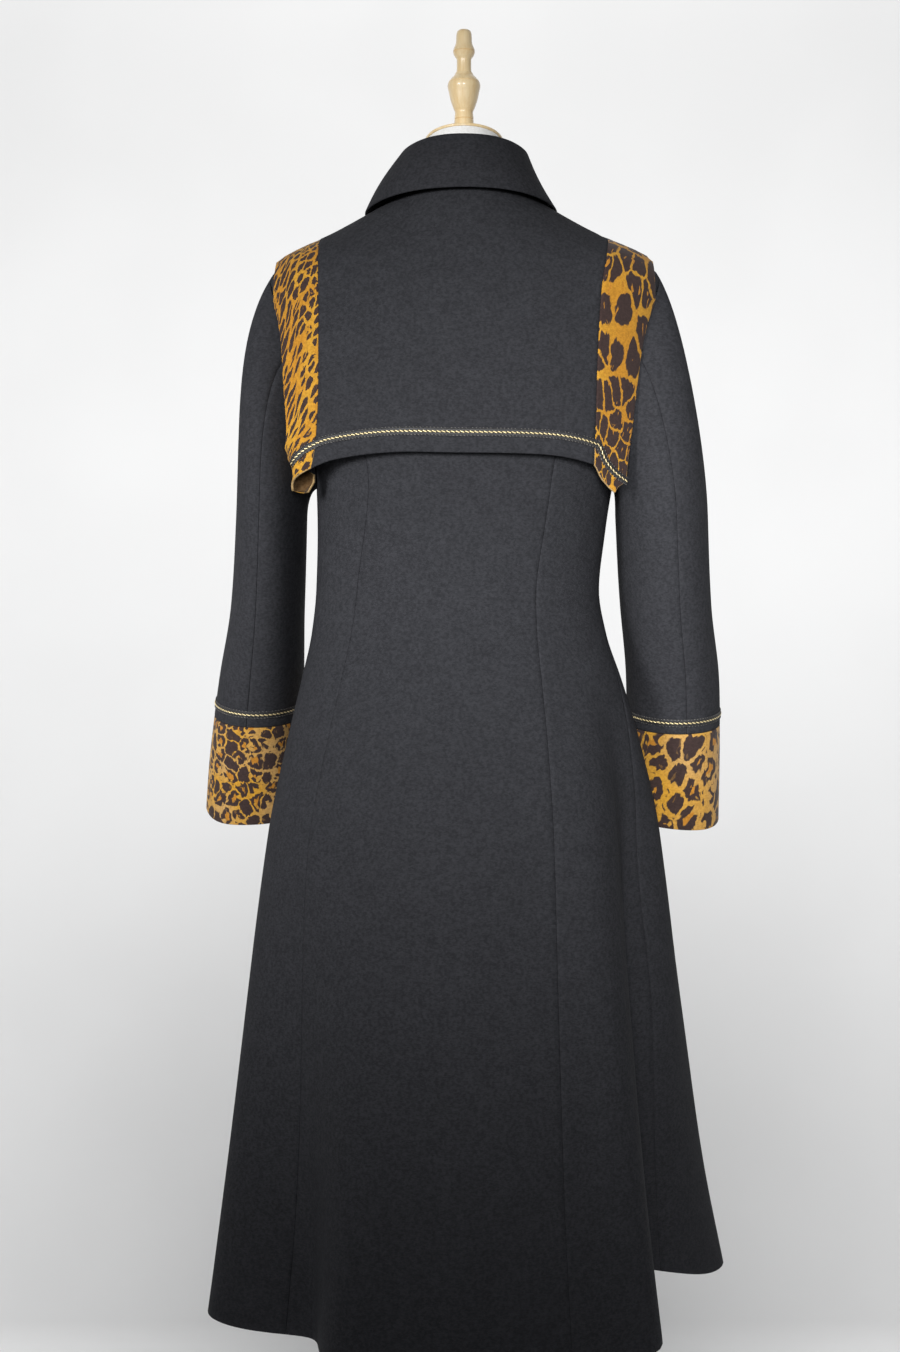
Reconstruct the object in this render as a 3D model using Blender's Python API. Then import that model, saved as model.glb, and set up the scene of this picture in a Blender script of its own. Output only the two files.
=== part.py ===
"""A fitted wool coat with a flared skirt, a back cape and leopard print trims, on a limbless dress form.

Metres, +Z up. The coat's back faces -Y and its front +Y, and +X is the wearer's right. The origin is on
the floor, at the middle of the form's base. A bearing is an angle seen from above, in degrees: 0 is the
centre back, 90 the right side, 180 the centre front and 270 (or -90) the left side.
"""

import math
from collections import namedtuple
from functools import partial

import bpy
import numpy as np

# Driving sizes of the coat
CLOTH = 0.0024  # thickness of a wool wall
SEAM_GAP = 0.0003  # between two pieces at a seam
SLANTED_GAP = 0.0008  # the same, measured along rows that cross the seam at a slant
HEM = 0.320
ARMPIT = 1.150
SHOULDER = 1.371
NECK = 1.436
ARMHOLE_SPREAD = 25.0  # degrees of bearing from the side to the armhole's edge, at mid height
LAP_START, LAP_FULL, LAP_END = 158.0, 168.0, 186.0  # where the right front rises over the left, and ends
LAP_UNDER = 172.0  # where the left front ends under it
LAP_CLEARANCE = 0.0014
BICEPS = 1.120
SLEEVE_END = {"left": 0.916, "right": 0.9075}
CUFF_END = {"left": 0.810, "right": 0.804}
BRAID_WIDTH = 0.010
BRAID = 0.0020  # thickness of the gold braid
BRAID_ABOVE_CUFF = {"left": 0.0140, "right": 0.0122}

# Driving sizes of the dress form
BASE_RADIUS = 0.200
BASE_THICKNESS = 0.020
BASE_EDGE = 0.005  # chamfer round the top
POLE_RADIUS = 0.0125
TORSO_BOTTOM = 0.800
NECK_TOP = 1.500
NECK_SLANT = 0.23  # rise of the neck's top towards the back, per metre
PLATE_RADIUS = 0.040
PLATE_THICKNESS = 0.003
PLATE_EDGE = 0.001  # chamfer round both faces

# Horizontal sections of the coat's body before its folds: half widths to the left and right of the
# middle, depths to the back and front, and how far the back and front sink below the stated height.
Section = namedtuple("Section", "height left right back front back_drop front_drop")
SECTIONS = (
    Section(0.320, 0.237, 0.231, 0.245, 0.215, 0.000, 0.000),
    Section(0.427, 0.228, 0.224, 0.225, 0.200, 0.000, 0.000),
    Section(0.626, 0.213, 0.2145, 0.194, 0.172, 0.000, 0.000),
    Section(0.800, 0.1965, 0.1985, 0.163, 0.148, 0.000, 0.000),
    Section(0.900, 0.177, 0.176, 0.131, 0.125, 0.000, 0.000),
    Section(0.955, 0.164, 0.159, 0.113, 0.113, 0.000, 0.000),
    Section(1.000, 0.154, 0.144, 0.098, 0.103, 0.000, 0.000),
    Section(1.045, 0.149, 0.1365, 0.091, 0.098, 0.000, 0.000),
    Section(1.100, 0.1475, 0.142, 0.096, 0.107, 0.000, 0.000),
    Section(1.150, 0.149, 0.150, 0.105, 0.119, 0.000, 0.000),
    Section(1.207, 0.170, 0.168, 0.112, 0.124, 0.000, 0.000),
    Section(1.265, 0.188, 0.184, 0.115, 0.120, 0.000, 0.000),
    Section(1.315, 0.196, 0.194, 0.114, 0.109, 0.004, 0.003),
    Section(1.352, 0.200, 0.201, 0.109, 0.094, 0.010, 0.009),
    Section(1.371, 0.189, 0.192, 0.104, 0.086, 0.014, 0.015),
    Section(1.402, 0.127, 0.129, 0.095, 0.073, 0.013, 0.030),
    Section(1.436, 0.065, 0.065, 0.082, 0.066, 0.000, 0.050),
)
DROP_POWER = 1.5  # how closely the sinking gathers at the centre back and front

# Ridges (out above 0) and valleys of the skirt: the bearing of each at the hem, how that turns in degrees
# per metre upwards, half its width in degrees, how far it stands out at the hem, the height where it begins,
# how far it lifts the hem, and how late it gains its depth on the way down.
Fold = namedtuple("Fold", "bearing lean spread out start lift growth")
FOLDS = (
    Fold(-76.0, 0.0, 14.0, 0.024, 0.92, 0.004, 1.4),
    Fold(-50.0, 0.0, 13.0, -0.046, 0.80, 0.000, 1.3),
    Fold(-27.0, 0.0, 8.0, 0.012, 0.76, 0.000, 1.2),
    Fold(4.0, 0.0, 14.0, 0.004, 0.70, 0.000, 1.4),
    Fold(48.5, -31.0, 9.0, 0.014, 0.92, 0.000, 0.9),
    Fold(74.5, -22.0, 14.0, -0.080, 0.95, 0.046, 0.8),
    Fold(92.0, 0.0, 12.0, 0.000, 0.70, 0.014, 1.4),
    Fold(116.0, 0.0, 17.0, 0.071, 0.91, 0.012, 1.4),
    Fold(134.0, 0.0, 10.0, -0.012, 0.80, 0.000, 1.4),
    Fold(155.0, 0.0, 13.0, 0.012, 0.78, 0.000, 1.4),
    Fold(-104.0, 0.0, 11.0, -0.016, 0.82, 0.000, 1.4),
    Fold(-131.0, 0.0, 14.0, 0.020, 0.84, 0.004, 1.4),
    Fold(-156.0, 0.0, 9.0, -0.008, 0.70, 0.000, 1.4),
)

# Bearings of the seams
Seams = namedtuple("Seams", "height left_side left_back right_back right_side")
SEAMS = (
    Seams(0.320, -91.0, -57.0, 25.0, 87.0),
    Seams(0.600, -91.0, -51.5, 24.0, 80.0),
    Seams(0.800, -91.0, -50.0, 25.0, 72.0),
    Seams(0.940, -90.0, -47.5, 27.5, 75.0),
    Seams(1.045, -90.0, -45.0, 31.0, 86.0),
    Seams(1.150, -90.0, -39.0, 34.5, 90.0),
    Seams(1.440, -90.0, -37.0, 34.5, 90.0),
)

# Rings of each sleeve below the arm: where the middle lies, half sizes, and the rise to the front and outside
Ring = namedtuple("Ring", "height aside forward half_width half_depth slope tilt")
SLEEVES = {
    "left": (
        Ring(0.803, 0.2230, 0.108, 0.0515, 0.0500, 0.18, -0.04),
        Ring(0.860, 0.2210, 0.101, 0.0490, 0.0525, 0.18, -0.02),
        Ring(0.915, 0.2170, 0.089, 0.0455, 0.0570, 0.21, 0.01),
        Ring(0.957, 0.2120, 0.073, 0.0430, 0.0620, 0.20, 0.02),
        Ring(1.030, 0.2035, 0.042, 0.0370, 0.0700, 0.08, 0.02),
        Ring(1.120, 0.1975, 0.012, 0.0350, 0.0750, 0.00, 0.00),
    ),
    "right": (
        Ring(0.803, 0.2235, 0.108, 0.0485, 0.0525, 0.15, -0.09),
        Ring(0.860, 0.2230, 0.101, 0.0488, 0.0540, 0.17, -0.04),
        Ring(0.915, 0.2220, 0.089, 0.0480, 0.0575, 0.19, 0.00),
        Ring(0.957, 0.2195, 0.073, 0.0475, 0.0600, 0.18, 0.00),
        Ring(1.030, 0.2100, 0.042, 0.0460, 0.0640, 0.08, 0.00),
        Ring(1.120, 0.2030, 0.012, 0.0460, 0.0680, 0.00, 0.00),
    ),
}
SIDES = {"left": -1.0, "right": 1.0}
SLEEVE_STEP = 20  # degrees round a sleeve, 0 outside (and at the shoulder), 90 back, 180 under the arm
BACK_SEAM, FRONT_SEAM = 80, 260
CAP_STEPS = (0.0, 0.07, 0.18, 0.34, 0.54, 0.77, 1.0)
CAP_FULLNESS = {"left": 0.80, "right": 0.50}  # how far the sleeve's head swells out of the armhole
# The way in which the sleeve's head leaves the armhole, at the shoulder and under the arm
CAP_OUT_TOP, CAP_OUT_UNDER = 0.50, 0.90
CAP_DOWN_TOP, CAP_DOWN_UNDER = 0.85, 0.45
CAP_ALONG = 0.45  # towards the back and the front, halfway down
CUFF_LIFT = {"left": 0.0095, "right": 0.005}  # how far the cuff's edge rises at its outer end
CUFF_LIFT_POWER = 6  # how closely that rise gathers there
# Shares of the cloth's thickness that part the sleeve from the body where they meet at a bend
BEND_CLEARANCE, UNDERARM_CLEARANCE = 0.55, 0.90
ARM_HEIGHTS = (1.085, 1.050, 1.015, 0.980, 0.955, 0.935)
CUFF_HEIGHTS = (0.877, 0.843)

# Lines of the collar: half sizes, and heights at the left, right, back and front
CollarLine = namedtuple(
    "CollarLine", "left right back front left_height right_height back_height front_height"
)
STAND_TOP = CollarLine(0.0585, 0.0585, 0.0740, 0.0640, 1.4800, 1.4800, 1.4850, 1.4210)
FALL_EDGE = CollarLine(0.1000, 0.0930, 0.0980, 0.0980, 1.4265, 1.4300, 1.4340, 1.3670)
COLLAR_END = 172.0  # bearing of its front ends
ROLL_RADIUS = 0.0040
ROLL_ANGLES = (35.0, 80.0, 125.0)
FALL_BULGE = 0.0030
FALL_ROWS = (0.25, 0.50, 0.75, 1.00)  # from the roll to the edge

# The back cape: the sideways place of each band's inner edge, and how far the cape stands off the back
BandLine = namedtuple("BandLine", "height left right")
BAND_LINES = (
    BandLine(1.170, 0.130, 0.117),
    BandLine(1.207, 0.134, 0.121),
    BandLine(1.280, 0.139, 0.127),
    BandLine(1.350, 0.141, 0.133),
    BandLine(1.397, 0.143, 0.143),
)
Flare = namedtuple("Flare", "bearing out drop")
CAPE_FLARES = (
    Flare(-68.0, 0.042, 0.026),
    Flare(-63.0, 0.034, 0.012),
    Flare(-58.0, 0.026, 0.005),
    Flare(-48.0, 0.015, 0.000),
    Flare(-25.0, 0.008, -0.002),
    Flare(0.0, 0.006, 0.000),
    Flare(25.0, 0.007, 0.000),
    Flare(48.0, 0.011, 0.006),
    Flare(53.0, 0.013, 0.020),
    Flare(58.0, 0.016, 0.030),
    Flare(68.0, 0.024, 0.042),
)
CAPE_TOP = 1.4335
CAPE_EDGE = 1.174
CAPE_OFF = 0.0054  # the cape's middle off the back's middle where it is sewn down
CAPE_FREE = 1.330  # below this height it hangs free
CAPE_CURVE = 1.6  # how late it leaves the back on its way down
CAPE_SIDE = 89.0  # bearing of its outer edge at both ends of the armhole
CAPE_REACH = 0.186  # half its width over the shoulders
CAPE_SHARED = 1.240  # above this height its rows lie over the rows of the back
BAND_TIP = 1.394
BAND_WIDEST = 88.0  # largest bearing of a band's inner edge
BRAID_ABOVE_EDGE = 0.0195
BRAID_CAPE_END = 64.0  # bearing of the braid's ends
BRAID_CLEARANCE = 0.0010  # over the cape's flat facets

# Pocket flaps: bearings from the back end to the front end, heights, and how far the lower edge stands off
FLAP_BACK, FLAP_FRONT = 105.0, 141.0
FLAP_TOP, FLAP_BOTTOM = 0.958, 0.904
FLAP_OFF, FLAP_FLARE = 0.0030, 0.0055
FLAP_BRAID_RISE = 0.001  # from the flap's lower edge to the braid

# Buttons
BUTTON_HEIGHTS = (1.340, 1.219, 1.098, 0.977)
BUTTON_RADIUS, BUTTON_THICKNESS = 0.0125, 0.0040
BUTTON_EDGE = 0.86  # radius of both faces, as a share
BUTTON_BEARING = 179.0
BUTTON_CLEARANCE = 0.0006

# How far the form's torso lies inside the middle of the cloth
Inset = namedtuple("Inset", "height inward")
TORSO_INSETS = (
    Inset(0.800, 0.036),
    Inset(0.860, 0.026),
    Inset(0.920, 0.014),
    Inset(1.000, 0.010),
    Inset(1.045, 0.009),
    Inset(1.150, 0.009),
    Inset(1.250, 0.010),
    Inset(1.315, 0.007),
    Inset(1.352, 0.0040),
    Inset(1.377, 0.0026),
    Inset(1.414, 0.0026),
)
TORSO_HEIGHTS = (
    TORSO_BOTTOM, 0.850, 0.900, 0.950, 1.000, 1.045, 1.100, 1.150, 1.207, 1.265,
    1.315, 1.345, 1.364, 1.378, 1.390, 1.402, 1.414,
)
NeckRing = namedtuple("NeckRing", "height side back front front_drop")
NECK_RINGS = (
    NeckRing(1.428, 0.0560, 0.0690, 0.0530, 0.042),
    NeckRing(1.446, 0.0470, 0.0560, 0.0450, 0.030),
    NeckRing(1.465, 0.0420, 0.0470, 0.0410, 0.012),
    NeckRing(NECK_TOP, 0.0385, 0.0385, 0.0385, 0.000),
)
TORSO_COLUMNS = 32

# Turned profile of the finial, from the neck plate up
Turn = namedtuple("Turn", "height radius")
FINIAL = (
    Turn(1.5040, 0.0098),
    Turn(1.5262, 0.0097),
    Turn(1.5315, 0.0091),
    Turn(1.5341, 0.0099),
    Turn(1.5394, 0.0120),
    Turn(1.5456, 0.0140),
    Turn(1.5540, 0.0155),
    Turn(1.5575, 0.0167),
    Turn(1.5622, 0.0160),
    Turn(1.5684, 0.0110),
    Turn(1.5725, 0.0078),
    Turn(1.5880, 0.0074),
    Turn(1.5905, 0.0097),
    Turn(1.5960, 0.0112),
    Turn(1.6015, 0.0097),
    Turn(1.6040, 0.0078),
    Turn(1.6120, 0.0080),
    Turn(1.6165, 0.0062),
)

# Heights of the rows that every panel of the body shares
SKIRT_HEIGHTS = (
    HEM, 0.370, 0.440, 0.520, 0.600, 0.680, 0.750, 0.820, 0.880, 0.930, 0.965, 1.000, 1.045, 1.095,
)
ARMHOLE_ANGLES = np.arange(180, -1, -SLEEVE_STEP)
ARMHOLE_MIDDLE = (ARMPIT + SHOULDER) / 2
ARMHOLE_HALF = (SHOULDER - ARMPIT) / 2
ARMHOLE_HEIGHTS = tuple(ARMHOLE_MIDDLE + ARMHOLE_HALF * np.cos(np.radians(ARMHOLE_ANGLES)))
NECK_HEIGHTS = (1.382, 1.388, BAND_TIP, 1.407, 1.422, NECK)
BODY_HEIGHTS = np.array(SKIRT_HEIGHTS + ARMHOLE_HEIGHTS + NECK_HEIGHTS)
CAPE_LOW_HEIGHTS = (CAPE_EDGE, 1.190, 1.215)
CAPE_SHARED_HEIGHTS = tuple(BODY_HEIGHTS[(BODY_HEIGHTS > CAPE_SHARED) & (BODY_HEIGHTS < CAPE_TOP)])
CAPE_HEIGHTS = np.array(CAPE_LOW_HEIGHTS + CAPE_SHARED_HEIGHTS + (CAPE_TOP,))

# Steps over which a surface's direction is measured
BEARING_STEP, HEIGHT_STEP = 0.5, 0.002


# Curves and surfaces


def smooth(at, table, column):
    """A monotone cubic through one column of a table, over the table's first column."""
    knots = np.array([row[0] for row in table])
    values = np.array([getattr(row, column) for row in table])
    step = np.diff(knots)
    slope = np.diff(values) / step
    tangent = np.empty(len(knots))
    tangent[0], tangent[-1] = slope[0], slope[-1]
    before, after = slope[:-1], slope[1:]
    total = np.where(before + after == 0.0, 1.0, before + after)
    tangent[1:-1] = np.where(before * after > 0.0, 2.0 * before * after / total, 0.0)
    at = np.clip(at, knots[0], knots[-1])
    i = np.clip(np.searchsorted(knots, at) - 1, 0, len(step) - 1)
    t = (at - knots[i]) / step[i]
    start = (1.0 + 2.0 * t) * (1.0 - t) ** 2 * values[i] + t * (1.0 - t) ** 2 * step[i] * tangent[i]
    end = t * t * (3.0 - 2.0 * t) * values[i + 1] + t * t * (t - 1.0) * step[i] * tangent[i + 1]
    return start + end


def ease(value):
    """0 below 0, 1 above 1, and a soft rise between."""
    value = np.clip(value, 0.0, 1.0)
    return value * value * (3.0 - 2.0 * value)


def unit(vectors):
    return vectors / np.linalg.norm(vectors, axis=-1, keepdims=True)


def fold_shift(bearing, height):
    """How far the skirt's folds move the cloth out and up."""
    out = np.zeros(np.broadcast(bearing, height).shape)
    lift = np.zeros(out.shape)
    for fold in FOLDS:
        middle = fold.bearing + fold.lean * (height - HEM)
        turned = (bearing - middle + 180.0) % 360.0 - 180.0
        grown = np.clip((fold.start - height) / (fold.start - HEM), 0.0, None) ** fold.growth
        share = grown * np.exp(-((turned / fold.spread) ** 2))
        out = out + fold.out * share
        lift = lift + fold.lift * share
    return out, lift


def body_point(bearing, height):
    """A point in the middle of the coat's cloth."""
    bearing, height = np.broadcast_arrays(np.asarray(bearing, float), np.asarray(height, float))
    across, along = np.sin(np.radians(bearing)), -np.cos(np.radians(bearing))
    width = np.where(across > 0.0, smooth(height, SECTIONS, "right"), smooth(height, SECTIONS, "left"))
    depth = np.where(along > 0.0, smooth(height, SECTIONS, "front"), smooth(height, SECTIONS, "back"))
    out, lift = fold_shift(bearing, height)
    front_drop, back_drop = smooth(height, SECTIONS, "front_drop"), smooth(height, SECTIONS, "back_drop")
    drop = np.where(along > 0.0, front_drop, back_drop)
    level = height + lift - drop * np.abs(along) ** DROP_POWER
    return np.stack([across * (width + out), along * (depth + out), level], axis=-1)


def normal_of(surface, bearing, height):
    """The direction out of a surface that is given by bearing and height."""
    low, high = np.maximum(height - HEIGHT_STEP, HEM), np.minimum(height + HEIGHT_STEP, NECK)
    along = surface(bearing + BEARING_STEP, height) - surface(bearing - BEARING_STEP, height)
    up = surface(bearing, high) - surface(bearing, low)
    return unit(np.cross(along, up))


def body_normal(bearing, height):
    return normal_of(body_point, bearing, height)


def seam(column):
    return smooth(BODY_HEIGHTS, SEAMS, column)


def armhole_spread(height):
    """Degrees between the side and the armhole's edge, an ellipse over the armhole's height."""
    reach = np.clip((height - ARMHOLE_MIDDLE) / ARMHOLE_HALF, -1.0, 1.0)
    return ARMHOLE_SPREAD * np.sqrt(1.0 - reach**2)


def sleeve_ring(side, height, angle):
    rows = SLEEVES[side]
    turn = np.radians(angle)
    outward = smooth(height, rows, "half_width") * np.cos(turn)
    aside = smooth(height, rows, "aside") + outward
    ahead = -smooth(height, rows, "half_depth") * np.sin(turn)
    lift = CUFF_LIFT[side] * ease((SLEEVE_END[side] - height) / (SLEEVE_END[side] - CUFF_END[side]))
    rise = smooth(height, rows, "slope") * ahead + smooth(height, rows, "tilt") * outward
    rise = rise + lift * np.clip(np.cos(turn), 0.0, None) ** CUFF_LIFT_POWER
    forward = smooth(height, rows, "forward") + ahead
    return np.stack(np.broadcast_arrays(SIDES[side] * aside, forward, height + rise), axis=-1)


def armhole(side, angle):
    """Bearing and height of the armhole's edge, at an angle round the sleeve."""
    turn = np.radians(angle)
    bearing = SIDES[side] * (90.0 - ARMHOLE_SPREAD * np.sin(turn))
    return bearing, ARMHOLE_MIDDLE + ARMHOLE_HALF * np.cos(turn)


def cap_point(side, angle, t):
    """The sleeve's head, from the armhole (t = 0) to the ring at the biceps (t = 1)."""
    bearing, height = armhole(side, angle)
    start = body_point(bearing, height)
    end = sleeve_ring(side, BICEPS, angle)
    turn = np.radians(angle)
    under = (1.0 - np.cos(turn)) / 2
    outward = SIDES[side] * (CAP_OUT_TOP + (CAP_OUT_UNDER - CAP_OUT_TOP) * under)
    down = CAP_DOWN_TOP + (CAP_DOWN_UNDER - CAP_DOWN_TOP) * under
    leave = unit(np.stack([outward, -CAP_ALONG * np.sin(turn), -down], axis=-1))
    arrive = unit(sleeve_ring(side, BICEPS - 0.01, angle) - end)
    start = start + armhole_clearance(side, angle, leave)
    length = np.linalg.norm(end - start, axis=-1, keepdims=True)
    return (
        (1 + 2 * t) * (1 - t) ** 2 * start
        + t * (1 - t) ** 2 * length * CAP_FULLNESS[side] * leave
        + t * t * (3 - 2 * t) * end
        + t * t * (t - 1) * length * arrive
    )


def armhole_clearance(side, angle, leave):
    """From the armhole's edge to the sleeve's first point."""
    tangent = unit(body_point(*armhole(side, angle + 1.0)) - body_point(*armhole(side, angle - 1.0)))
    normal = body_normal(*armhole(side, angle))
    ahead = np.cross(normal, tangent) * SIDES[side]
    straight = np.sum(ahead * leave, axis=-1, keepdims=True)
    bend = np.sqrt(np.clip(1.0 - straight**2, 0.0, 1.0))
    back = np.clip(-straight, 0.0, None)
    return leave * (SEAM_GAP + BEND_CLEARANCE * CLOTH * bend) + normal * (UNDERARM_CLEARANCE * CLOTH * back)


def collar_line(line, bearing):
    across, along = np.sin(np.radians(bearing)), -np.cos(np.radians(bearing))
    width = np.where(across > 0.0, line.right, line.left)
    depth = np.where(along > 0.0, line.front, line.back)
    side_height = np.where(across > 0.0, line.right_height, line.left_height)
    end_height = np.where(along > 0.0, line.front_height, line.back_height)
    share = np.where(along > 0.0, across**2, np.abs(across) ** 3)
    height = end_height + (side_height - end_height) * share
    return np.stack([across * width, along * depth, height], axis=-1)


def cape_point(bearing, height):
    return body_point(bearing, height) + body_normal(bearing, height) * cape_off(bearing, height)[..., None]


def cape_off(bearing, height):
    """How far the cape's middle lies off the back's middle."""
    free = np.clip((CAPE_FREE - height) / (CAPE_FREE - CAPE_EDGE), 0.0, None)
    return CAPE_OFF + smooth(bearing, CAPE_FLARES, "out") * free**CAPE_CURVE


def cape_edge_height(bearing):
    return CAPE_EDGE - smooth(bearing, CAPE_FLARES, "drop")


def band_inner(side, height):
    """Bearing of a band's inner edge."""
    place = smooth(height, BAND_LINES, side) / smooth(height, SECTIONS, side)
    return SIDES[side] * np.degrees(np.arcsin(np.clip(place, 0.0, np.sin(np.radians(BAND_WIDEST)))))


def band_outer(side, height):
    """Bearing of the cape's outer edge: beside the armhole, then straight down, within the reach."""
    beside = CAPE_SIDE - armhole_spread(np.maximum(height, ARMHOLE_MIDDLE))
    reach = np.minimum(CAPE_REACH / smooth(height, SECTIONS, side), np.sin(np.radians(CAPE_SIDE)))
    return SIDES[side] * np.minimum(beside, np.degrees(np.arcsin(reach)))


# Solids


def material(name, colour, roughness, metallic=0.0):
    made = bpy.data.materials.new(name)
    made.use_nodes = True
    shader = made.node_tree.nodes["Principled BSDF"]
    shader.inputs["Base Color"].default_value = (*colour, 1.0)
    shader.inputs["Roughness"].default_value = roughness
    shader.inputs["Metallic"].default_value = metallic
    made.diffuse_color = (*colour, 1.0)
    return made


def solid(name, points, faces, look):
    """One closed body with its faces turned out."""
    volume = 0.0
    for face in faces:
        for second, third in zip(face[1:-1], face[2:]):
            volume += np.dot(points[face[0]], np.cross(points[second], points[third]))
    if volume < 0.0:
        faces = [face[::-1] for face in faces]
    mesh = bpy.data.meshes.new(name)
    mesh.from_pydata([tuple(point) for point in points], [], [list(face) for face in faces])
    mesh.shade_smooth()
    mesh.set_sharp_from_angle(angle=math.radians(40.0))
    mesh.materials.append(look)
    made = bpy.data.objects.new(name, mesh)
    made.parent = ROOT
    bpy.context.scene.collection.objects.link(made)
    return made


def grid_faces(rows, columns, closed):
    """Quads of a grid, row by row."""
    spans = columns if closed else columns - 1
    quads = []
    for row in range(rows - 1):
        for column in range(spans):
            following = (column + 1) % columns
            low, high = row * columns, (row + 1) * columns
            quads.append([low + column, low + following, high + following, high + column])
    return quads


def rim_edges(quads):
    """Edges that only one quad has, in that quad's direction."""
    edges = {(a, b) for quad in quads for a, b in zip(quad, quad[1:] + quad[:1])}
    return sorted(edge for edge in edges if edge[::-1] not in edges)


def wall(name, middle, normals, thickness, look, closed=False):
    """A cloth wall: a grid of points moved half the thickness out and in, and closed along its rim."""
    rows, columns = middle.shape[:2]
    out, into = middle + normals * thickness / 2, middle - normals * thickness / 2
    points = np.concatenate([out.reshape(-1, 3), into.reshape(-1, 3)])
    inner = rows * columns
    quads = grid_faces(rows, columns, closed)
    faces = quads + [[inner + corner for corner in reversed(quad)] for quad in quads]
    faces += [[b, a, inner + a, inner + b] for a, b in rim_edges(quads)]
    return solid(name, points, faces, look)


def part_seams(grid, gap=SEAM_GAP):
    """The same grid with its side columns half a gap inside the seams."""
    parted = grid.copy()
    parted[:, 0] += unit(grid[:, 1] - grid[:, 0]) * gap / 2
    parted[:, -1] += unit(grid[:, -2] - grid[:, -1]) * gap / 2
    return parted


def between(first, last, columns):
    """Rows of bearings, evenly from one seam to the next."""
    share = np.linspace(0.0, 1.0, columns + 1)
    return first[:, None] * (1.0 - share) + last[:, None] * share


def grid_normals(grid, closed=False):
    if closed:
        along = np.roll(grid, -1, axis=1) - np.roll(grid, 1, axis=1)
    else:
        along = np.gradient(grid, axis=1)
    return unit(np.cross(along, np.gradient(grid, axis=0)))


# The coat's body


def make_panel(name, first, last, columns, lap=None):
    bearings = between(first, last, columns)
    heights = np.broadcast_to(BODY_HEIGHTS[:, None], bearings.shape)
    normals = body_normal(bearings, heights)
    grid = part_seams(body_point(bearings, heights))
    if lap is not None:
        grid = grid + normals * lap(bearings)[..., None]
    wall(name, grid, normals, CLOTH, WOOL)


def lap_rise(bearing):
    return (CLOTH + LAP_CLEARANCE) * ease((bearing - LAP_START) / (LAP_FULL - LAP_START))


def make_body():
    outer_back = 90.0 - armhole_spread(BODY_HEIGHTS)
    outer_front = 90.0 + armhole_spread(BODY_HEIGHTS)
    above = BODY_HEIGHTS > ARMPIT + 1e-6
    left_back = np.where(above, -outer_back, seam("left_side"))
    right_back = np.where(above, outer_back, seam("right_side"))
    left_front = 360.0 + np.where(above, -outer_front, seam("left_side"))
    right_front = np.where(above, outer_front, seam("right_side"))
    level = np.ones(len(BODY_HEIGHTS))
    make_panel("back_centre", seam("left_back"), seam("right_back"), columns=12)
    make_panel("back_side_left", left_back, seam("left_back"), columns=7)
    make_panel("back_side_right", seam("right_back"), right_back, columns=8)
    make_panel("front_right", right_front, LAP_END * level, columns=12, lap=lap_rise)
    make_panel("front_left", LAP_UNDER * level, left_front, columns=11)


def make_sleeves():
    angles = np.arange(0, 360, SLEEVE_STEP)
    for side, sign in SIDES.items():
        cap = [cap_point(side, angles, t) for t in CAP_STEPS]
        arm = [sleeve_ring(side, height, angles) for height in (*ARM_HEIGHTS, SLEEVE_END[side])]
        grid = np.array(cap + arm)
        normals = grid_normals(grid, closed=True) * sign
        back, front = BACK_SEAM // SLEEVE_STEP, FRONT_SEAM // SLEEVE_STEP
        under = np.arange(back, front + 1)
        upper = np.arange(front, len(angles) + back + 1) % len(angles)
        for name, columns in (("under", under), ("upper", upper)):
            parted = part_seams(grid[:, columns], SLANTED_GAP)
            wall(f"sleeve_{name}_{side}", parted, normals[:, columns], CLOTH, WOOL)
        make_cuff(side, sign, angles)


def make_cuff(side, sign, angles):
    """The print cuff that goes on from the sleeve's end, and the braid above it."""
    heights = (SLEEVE_END[side] - SEAM_GAP, *CUFF_HEIGHTS, CUFF_END[side])
    grid = np.array([sleeve_ring(side, height, angles) for height in heights])
    wall(f"cuff_{side}", grid, grid_normals(grid, closed=True) * sign, CLOTH, PRINT, closed=True)
    middle = SLEEVE_END[side] + BRAID_ABOVE_CUFF[side]
    heights = (middle + BRAID_WIDTH / 2, middle - BRAID_WIDTH / 2)
    grid = np.array([sleeve_ring(side, height, angles) for height in heights])
    normals = grid_normals(grid, closed=True) * sign
    grid = grid + normals * (CLOTH / 2 + 2 * SEAM_GAP + BRAID / 2)
    wall(f"braid_cuff_{side}", grid, normals, BRAID, GOLD, closed=True)


def make_collar():
    bearings = np.linspace(-COLLAR_END, COLLAR_END, 27)
    neckline = body_point(bearings, NECK) + np.array([0.0, 0.0, CLOTH / 2 + 3 * SEAM_GAP])
    top = collar_line(STAND_TOP, bearings)
    stand = np.array([neckline, (neckline + top) / 2, top])
    wall("collar_stand", stand, grid_normals(stand), CLOTH, WOOL)
    turn = np.radians(bearings)
    outward = np.stack([np.sin(turn), -np.cos(turn), np.zeros(len(turn))], axis=-1)
    upward = np.array([0.0, 0.0, 1.0])
    start = top + upward * (CLOTH / 2)
    rows = [start]
    for angle in np.radians(ROLL_ANGLES):
        rows.append(start + ROLL_RADIUS * ((1.0 - np.cos(angle)) * outward + np.sin(angle) * upward))
    edge = collar_line(FALL_EDGE, bearings)
    for share in FALL_ROWS:
        bulge = FALL_BULGE * math.sin(math.pi * share)
        rows.append(rows[len(ROLL_ANGLES)] * (1.0 - share) + edge * share + outward * bulge)
    fall = np.array(rows)
    wall("collar_fall", fall, grid_normals(fall), CLOTH, WOOL)


# The cape and the trims that lie on the coat


def cape_grid(first, last, columns, heights):
    """Bearings and heights of a cape piece, with its lower rows following the free edge."""
    bearings = between(first(heights), last(heights), columns)
    share = np.clip((CAPE_FREE - heights) / (CAPE_FREE - CAPE_EDGE), 0.0, 1.0)[:, None] ** 2
    return bearings, heights[:, None] - (CAPE_EDGE - cape_edge_height(bearings)) * share


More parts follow.
